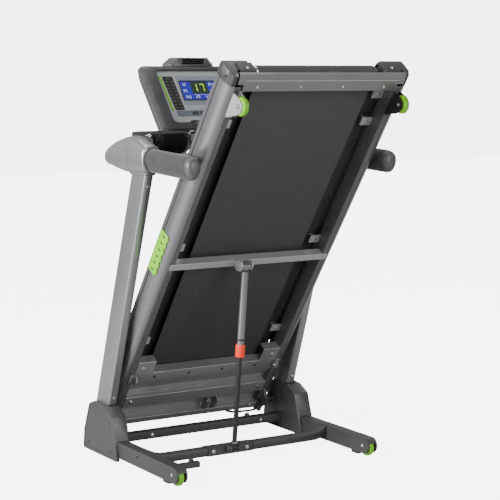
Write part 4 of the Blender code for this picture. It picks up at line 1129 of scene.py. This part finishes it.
def build_lime_pad():
    """Soft grip pad on the left foot rail: scalloped edges and six sunken slots darkened with painted shade,
    with ribs between.
    """
    profile = [(0.3433, 0.02), (0.3452, 0.027), (0.3469, 0.0345), (0.3479, 0.044), (0.3481, 0.054),
               (0.3481, 0.064), (0.3479, 0.074)]
    start, end = 0.8, 0.97
    columns, rows = 60, 24
    middle = (len(profile) - 1) / 2

    def spot(u, t, lift):
        """u runs along the pad and t across it, both 0 to 1; lift is out of the surface."""
        swell = 0.5 - 0.5 * math.cos(2 * math.pi * 6 * u)
        reach = 0.78 + 0.22 * swell ** 0.7
        across = middle + (t * 2 - 1) * middle * reach
        index = min(int(across), len(profile) - 2)
        share = across - index
        x = profile[index][0] + (profile[index + 1][0] - profile[index][0]) * share
        w = profile[index][1] + (profile[index + 1][1] - profile[index][1]) * share
        return (-(x + lift), HINGE_V - (start + (end - start) * u), w)

    def height(u, t):
        wave = (u * 6) % 1.0 - 0.5
        dip = (wave / 0.2) ** 2 + ((t - 0.5) / 0.3) ** 2
        groove = -0.0016 * max(0.0, 1.0 - dip ** 2)
        edge = min(1.0, min(t, 1 - t) / 0.08, min(u, 1 - u) / 0.015)
        return 0.0012 * edge + groove

    shape = bmesh.new()
    def grid(lift):
        lines = []
        for i in range(columns + 1):
            places = [(i / columns, j / rows) for j in range(rows + 1)]
            lines.append(ring(shape, [spot(u, t, lift(u, t)) for u, t in places]))
        return lines

    top = grid(height)
    under = grid(lambda u, t: -0.0024)
    for i in range(columns):
        for j in range(rows):
            shape.faces.new((top[i][j], top[i + 1][j], top[i + 1][j + 1], top[i][j + 1]))
            shape.faces.new((under[i][j], under[i][j + 1], under[i + 1][j + 1], under[i + 1][j]))
    for i in range(columns):
        shape.faces.new((top[i][0], under[i][0], under[i + 1][0], top[i + 1][0]))
        shape.faces.new((top[i][rows], top[i + 1][rows], under[i + 1][rows], under[i][rows]))
    for j in range(rows):
        shape.faces.new((top[0][j], top[0][j + 1], under[0][j + 1], under[0][j]))
        shape.faces.new((top[columns][j], under[columns][j], under[columns][j + 1], top[columns][j + 1]))
    pad = finish_piece("rail_grip_pad", shape, "lime", "deck", DECK, angle=50.0)
    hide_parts("rail_pad_left")

    # the slots are dark lime: painted shade in the recesses
    slots = bmesh.new()
    for k in range(6):
        u = (k + 0.5) / 6
        points = []
        for step in range(20):
            angle = 2 * math.pi * step / 20
            points.append((u + 0.022 * math.cos(angle), 0.5 + 0.13 * math.sin(angle)))
        lower = [slots.verts.new(spot(a, b, -0.0012)) for a, b in points]
        upper = [slots.verts.new(spot(a, b, 0.0006)) for a, b in points]
        skin(slots, lower, upper)
        slots.faces.new(lower)
        slots.faces.new(upper)
    finish_piece("pad_slots", slots, "lime_painted_shade", "deck", DECK)


def build_wheels():
    for side, sign in SIDES:
        deck_axle = DECK @ Matrix.Translation(deck_point(sign * 0.30385, DECK_WHEEL_V, DECK_WHEEL_W))
        base_axle = BASE @ Matrix.Translation((sign * SIDE_X, BASE_WHEEL_Y, 0.033))
        wheels = (
            (f"deck_wheel_{side}", deck_axle, 0.0098, 0.03),
            (f"base_wheel_{side}", base_axle, 0.0115, 0.031),
        )
        for body, place, half, radius in wheels:
            hub = bmesh.new()
            turn = Matrix.Rotation(math.pi / 2, 4, "Y")
            for direction in (-1, 1):
                face = direction * (half + 0.0002)
                profile = [(0.0045, face * 0.8), (0.0045, face + direction * 0.0004),
                           (0.012, face + direction * 0.0006), (0.015, face + direction * 0.0002),
                           (0.0165, face - direction * 0.0008), (0.0165, face * 0.8), (0.0045, face * 0.8)]
                add_lathe(hub, place @ turn, profile, 36)
            finish_piece(f"{body}_hub", hub, "black_plastic", body, WORLD)
            # dark rings in the tread's grooves: painted shade
            tread = bmesh.new()
            for offset in (-0.45, 0.0, 0.45):
                along = offset * half
                rim = radius - (0.0022 if body.startswith("base") and offset else 0.0002)
                inner, outer = rim - 0.0006, rim + 0.0003
                profile = [(inner, along - 0.0006), (outer, along - 0.0005), (outer, along + 0.0005),
                           (inner, along + 0.0006), (inner, along - 0.0006)]
                add_lathe(tread, place @ turn, profile, 48)
            finish_piece(f"{body}_tread", tread, "lime_painted_shade", body, WORLD)


# ---------------------------------------------------------------- base and strut

def build_base_details():
    bright = bmesh.new()
    dark = bmesh.new()
    for side, sign in SIDES:
        # raised line round the cover's outer face, with a step inside it
        outline = rounded([(0.42, 0.012), (0.411, 0.069), (0.372, 0.16), (0.344, 0.173), (0.266, 0.166),
                           (0.217, 0.143), (0.178, 0.012)], 0.012, 5)
        inner = rounded([(0.418, 0.014), (0.409, 0.0688), (0.3705, 0.1584), (0.3435, 0.1708), (0.2668, 0.164),
                         (0.2188, 0.1415), (0.1806, 0.014)], 0.011, 5)
        line = bmesh.new()
        levels = []
        for outline_used, x in ((outline, 0.4126), (outline, 0.4138), (inner, 0.4138), (inner, 0.4126)):
            levels.append([(sign * x, y, z) for y, z in outline_used])
        rings = add_loft(line, levels, closed=False)
        skin(line, rings[-1], rings[0])
        finish_piece(f"cover_line_{side}", line, "cover_plastic", "base")
        add_bolt(dark, (sign * 0.413, 0.21, 0.03), (sign, 0, 0), 0.0045, 0.002)
        add_bolt(dark, (sign * 0.413, 0.385, 0.03), (sign, 0, 0), 0.0045, 0.002)

        # rail ends: axle heads on both faces
        for x, direction in ((0.4, sign), (0.36, -sign)):
            add_bolt(bright, (sign * x, BASE_WHEEL_Y, 0.04), (direction, 0, 0), 0.0056, 0.0044, "hex")
        # bolts that hold the cross tubes to the rails
        add_bolt(dark, (sign * 0.4, 0.03, 0.05), (sign, 0, 0), 0.0056, 0.003)
        add_bolt(bright, (sign * 0.3735, -0.0106, 0.965), (0, -1, -0.35), 0.0052, 0.0032)
        add_bolt(bright, (sign * 0.3735, 0.256, 0.206), (0, -1, -0.35), 0.0052, 0.0032)
        # rubber lip where the upright enters its cover
        lip = bmesh.new()
        levels = []
        for height, grow in ((0.1745, 0.0012), (0.1745, 0.004), (0.179, 0.0034), (0.18, 0.0012)):
            outline = upright_outline(sign, height, grow, 0.007)
            levels.append([(p, q, height - (q - 0.3) * 0.05) for p, q in outline])
        rings = add_loft(lip, levels, closed=False)
        skin(lip, rings[-1], rings[0])
        finish_piece(f"cover_lip_{side}", lip, "rubber", "base")
    # seam and end screws of the sleeve on the rear tube
    seam = bmesh.new()
    for x in (STRUT_X - 0.092, STRUT_X + 0.087):
        outline = rounded(rectangle(0.0094, 0.0166, 0.0506, 0.0484), 0.002, 3)
        add_loft(seam, [[(x - 0.0008, y, z) for y, z in outline], [(x + 0.0008, y, z) for y, z in outline]])
    finish_piece("sleeve_seams", seam, "black_steel", "base")
    for x in (STRUT_X - 0.07, STRUT_X + 0.066):
        add_bolt(bright, (x, 0.01, 0.033), (0, -1, 0), 0.005, 0.004, "hex")
    # small stop on the front tube
    stop = bmesh.new()
    add_lathe(stop, Matrix.Translation((0.21, 0.316, 0.06)),
              [(0.0, 0.0), (0.01, 0.0), (0.01, 0.006), (0.007, 0.012), (0.0, 0.0125)], 24)
    finish_piece("front_tube_stop", stop, "rubber", "base")
    add_bolt(bright, (-0.2, 0.297, 0.045), (0, -1, 0), 0.005, 0.0036, "hex")
    add_bolt(bright, (0.26, 0.297, 0.045), (0, -1, 0), 0.005, 0.0036, "hex")
    finish_piece("base_bolts_bright", bright, "zinc", "base")
    finish_piece("base_bolts_dark", dark, "black_steel", "base")


def build_strut_details():
    # grip rings on the lock sleeve
    grips = bmesh.new()
    for k in range(7):
        height = 0.336 + k * 0.005
        add_lathe(grips, STRUT @ Matrix.Translation((0.0, 0.0, height)),
                  [(0.0154, 0.0), (0.0166, 0.0004), (0.0166, 0.002), (0.0154, 0.0024), (0.0154, 0.0)], 36)
    finish_piece("sleeve_ribs", grips, "orange", "lock_sleeve", WORLD)
    # collars at the foot and the head of the outer tube
    collar = bmesh.new()
    for low, high, radius in ((0.388, 0.395, 0.0136), (0.63, 0.638, 0.0134)):
        add_lathe(collar, STRUT @ Matrix.Translation((0.0, 0.0, low)),
                  [(0.012, 0.0), (radius, 0.0008), (radius, high - low - 0.0008), (0.012, high - low),
                   (0.012, 0.0)], 32)
    finish_piece("tube_collars", collar, "black_plastic", "strut_tube", WORLD)
    # cross pin and ring low on the rod
    pin = bmesh.new()
    add_lathe(pin, STRUT @ towards((0.0, 0.0, 0.0), (1, 0, 0)),
              [(0.0, -0.0142), (0.0046, -0.0142), (0.0046, 0.0142), (0.0, 0.0142)], 20)
    add_lathe(pin, STRUT @ Matrix.Translation((0.0, 0.0, 0.018)),
              [(0.0086, 0.0), (0.0112, 0.0008), (0.0112, 0.005), (0.0086, 0.0058), (0.0086, 0.0)], 28)
    finish_piece("rod_foot_ring", pin, "steel", "strut_rod", WORLD)


# ---------------------------------------------------------------- stage

FLOOR_HALF = 14.0
ROOM_LIGHT = 0.42                # what the world gives the object
BACKDROP_LIGHT = 6.5             # what the camera sees of it
FLOOR_LIGHT = 6.0                # glow of the floor, for the camera only
LAMP_TARGET = Vector((0.0, 0.0, 0.7))


def build_stage():
    shape = bmesh.new()
    half = FLOOR_HALF
    shape.faces.new([shape.verts.new(point) for point in
                     ((-half, -half, 0.0), (half, -half, 0.0), (half, half, 0.0), (-half, half, 0.0))])
    mesh = bpy.data.meshes.new("floor")
    shape.to_mesh(mesh)
    shape.free()
    look = Look("studio_floor")
    cloudy = look.patches(0.0, 1.0, 1.5, 4.0)
    look.drive("Base Color", look.mixed(cloudy, (0.34, 0.34, 0.34), (0.37, 0.37, 0.37)))
    look.drive("Roughness", look.patches(0.55, 0.65, 6.0, 4.0))
    rays = look.node("ShaderNodeLightPath")
    look.fix("Emission Color", (1.0, 1.0, 1.0, 1.0))
    look.drive("Emission Strength", look.maths("MULTIPLY", rays.outputs["Is Camera Ray"], FLOOR_LIGHT))
    mesh.materials.append(look.finished())
    floor = bpy.data.objects.new("floor", mesh)
    bpy.context.scene.collection.objects.link(floor)

    world = bpy.data.worlds.new("studio")
    world.use_nodes = True
    tree = world.node_tree
    soft = tree.nodes["Background"]
    soft.inputs["Color"].default_value = (1.0, 1.0, 1.0, 1.0)
    soft.inputs["Strength"].default_value = ROOM_LIGHT
    seen = tree.nodes.new("ShaderNodeBackground")
    seen.inputs["Strength"].default_value = BACKDROP_LIGHT
    rays = tree.nodes.new("ShaderNodeLightPath")
    mix = tree.nodes.new("ShaderNodeMixShader")
    tree.links.new(rays.outputs["Is Camera Ray"], mix.inputs["Fac"])
    tree.links.new(soft.outputs["Background"], mix.inputs[1])
    tree.links.new(seen.outputs["Background"], mix.inputs[2])
    tree.links.new(mix.outputs["Shader"], tree.nodes["World Output"].inputs["Surface"])
    bpy.context.scene.world = world

    lamps = (
        ("key", (-4.4, 0.2, 2.0), 2.2, 560.0),
        ("fill", (0.6, -5.4, 2.2), 3.0, 210.0),
        ("top", (0.2, 0.6, 4.6), 2.6, 60.0),
        ("rim", (4.4, 1.4, 2.2), 2.2, 60.0),
    )
    for name, place, size, power in lamps:
        data = bpy.data.lights.new(name, "AREA")
        data.shape = "SQUARE"
        data.size = size
        data.energy = power
        lamp = bpy.data.objects.new(name, data)
        lamp.location = place
        lamp.rotation_euler = (LAMP_TARGET - Vector(place)).to_track_quat("-Z", "Y").to_euler()
        bpy.context.scene.collection.objects.link(lamp)


def main():
    build_camera()
    build_looks()
    build_cable()
    dress_nodes()
    build_shoulders()
    build_grips()
    build_trays()
    build_console()
    build_deck_details()
    build_lime_pad()
    build_wheels()
    build_base_details()
    build_strut_details()
    build_stage()


main()
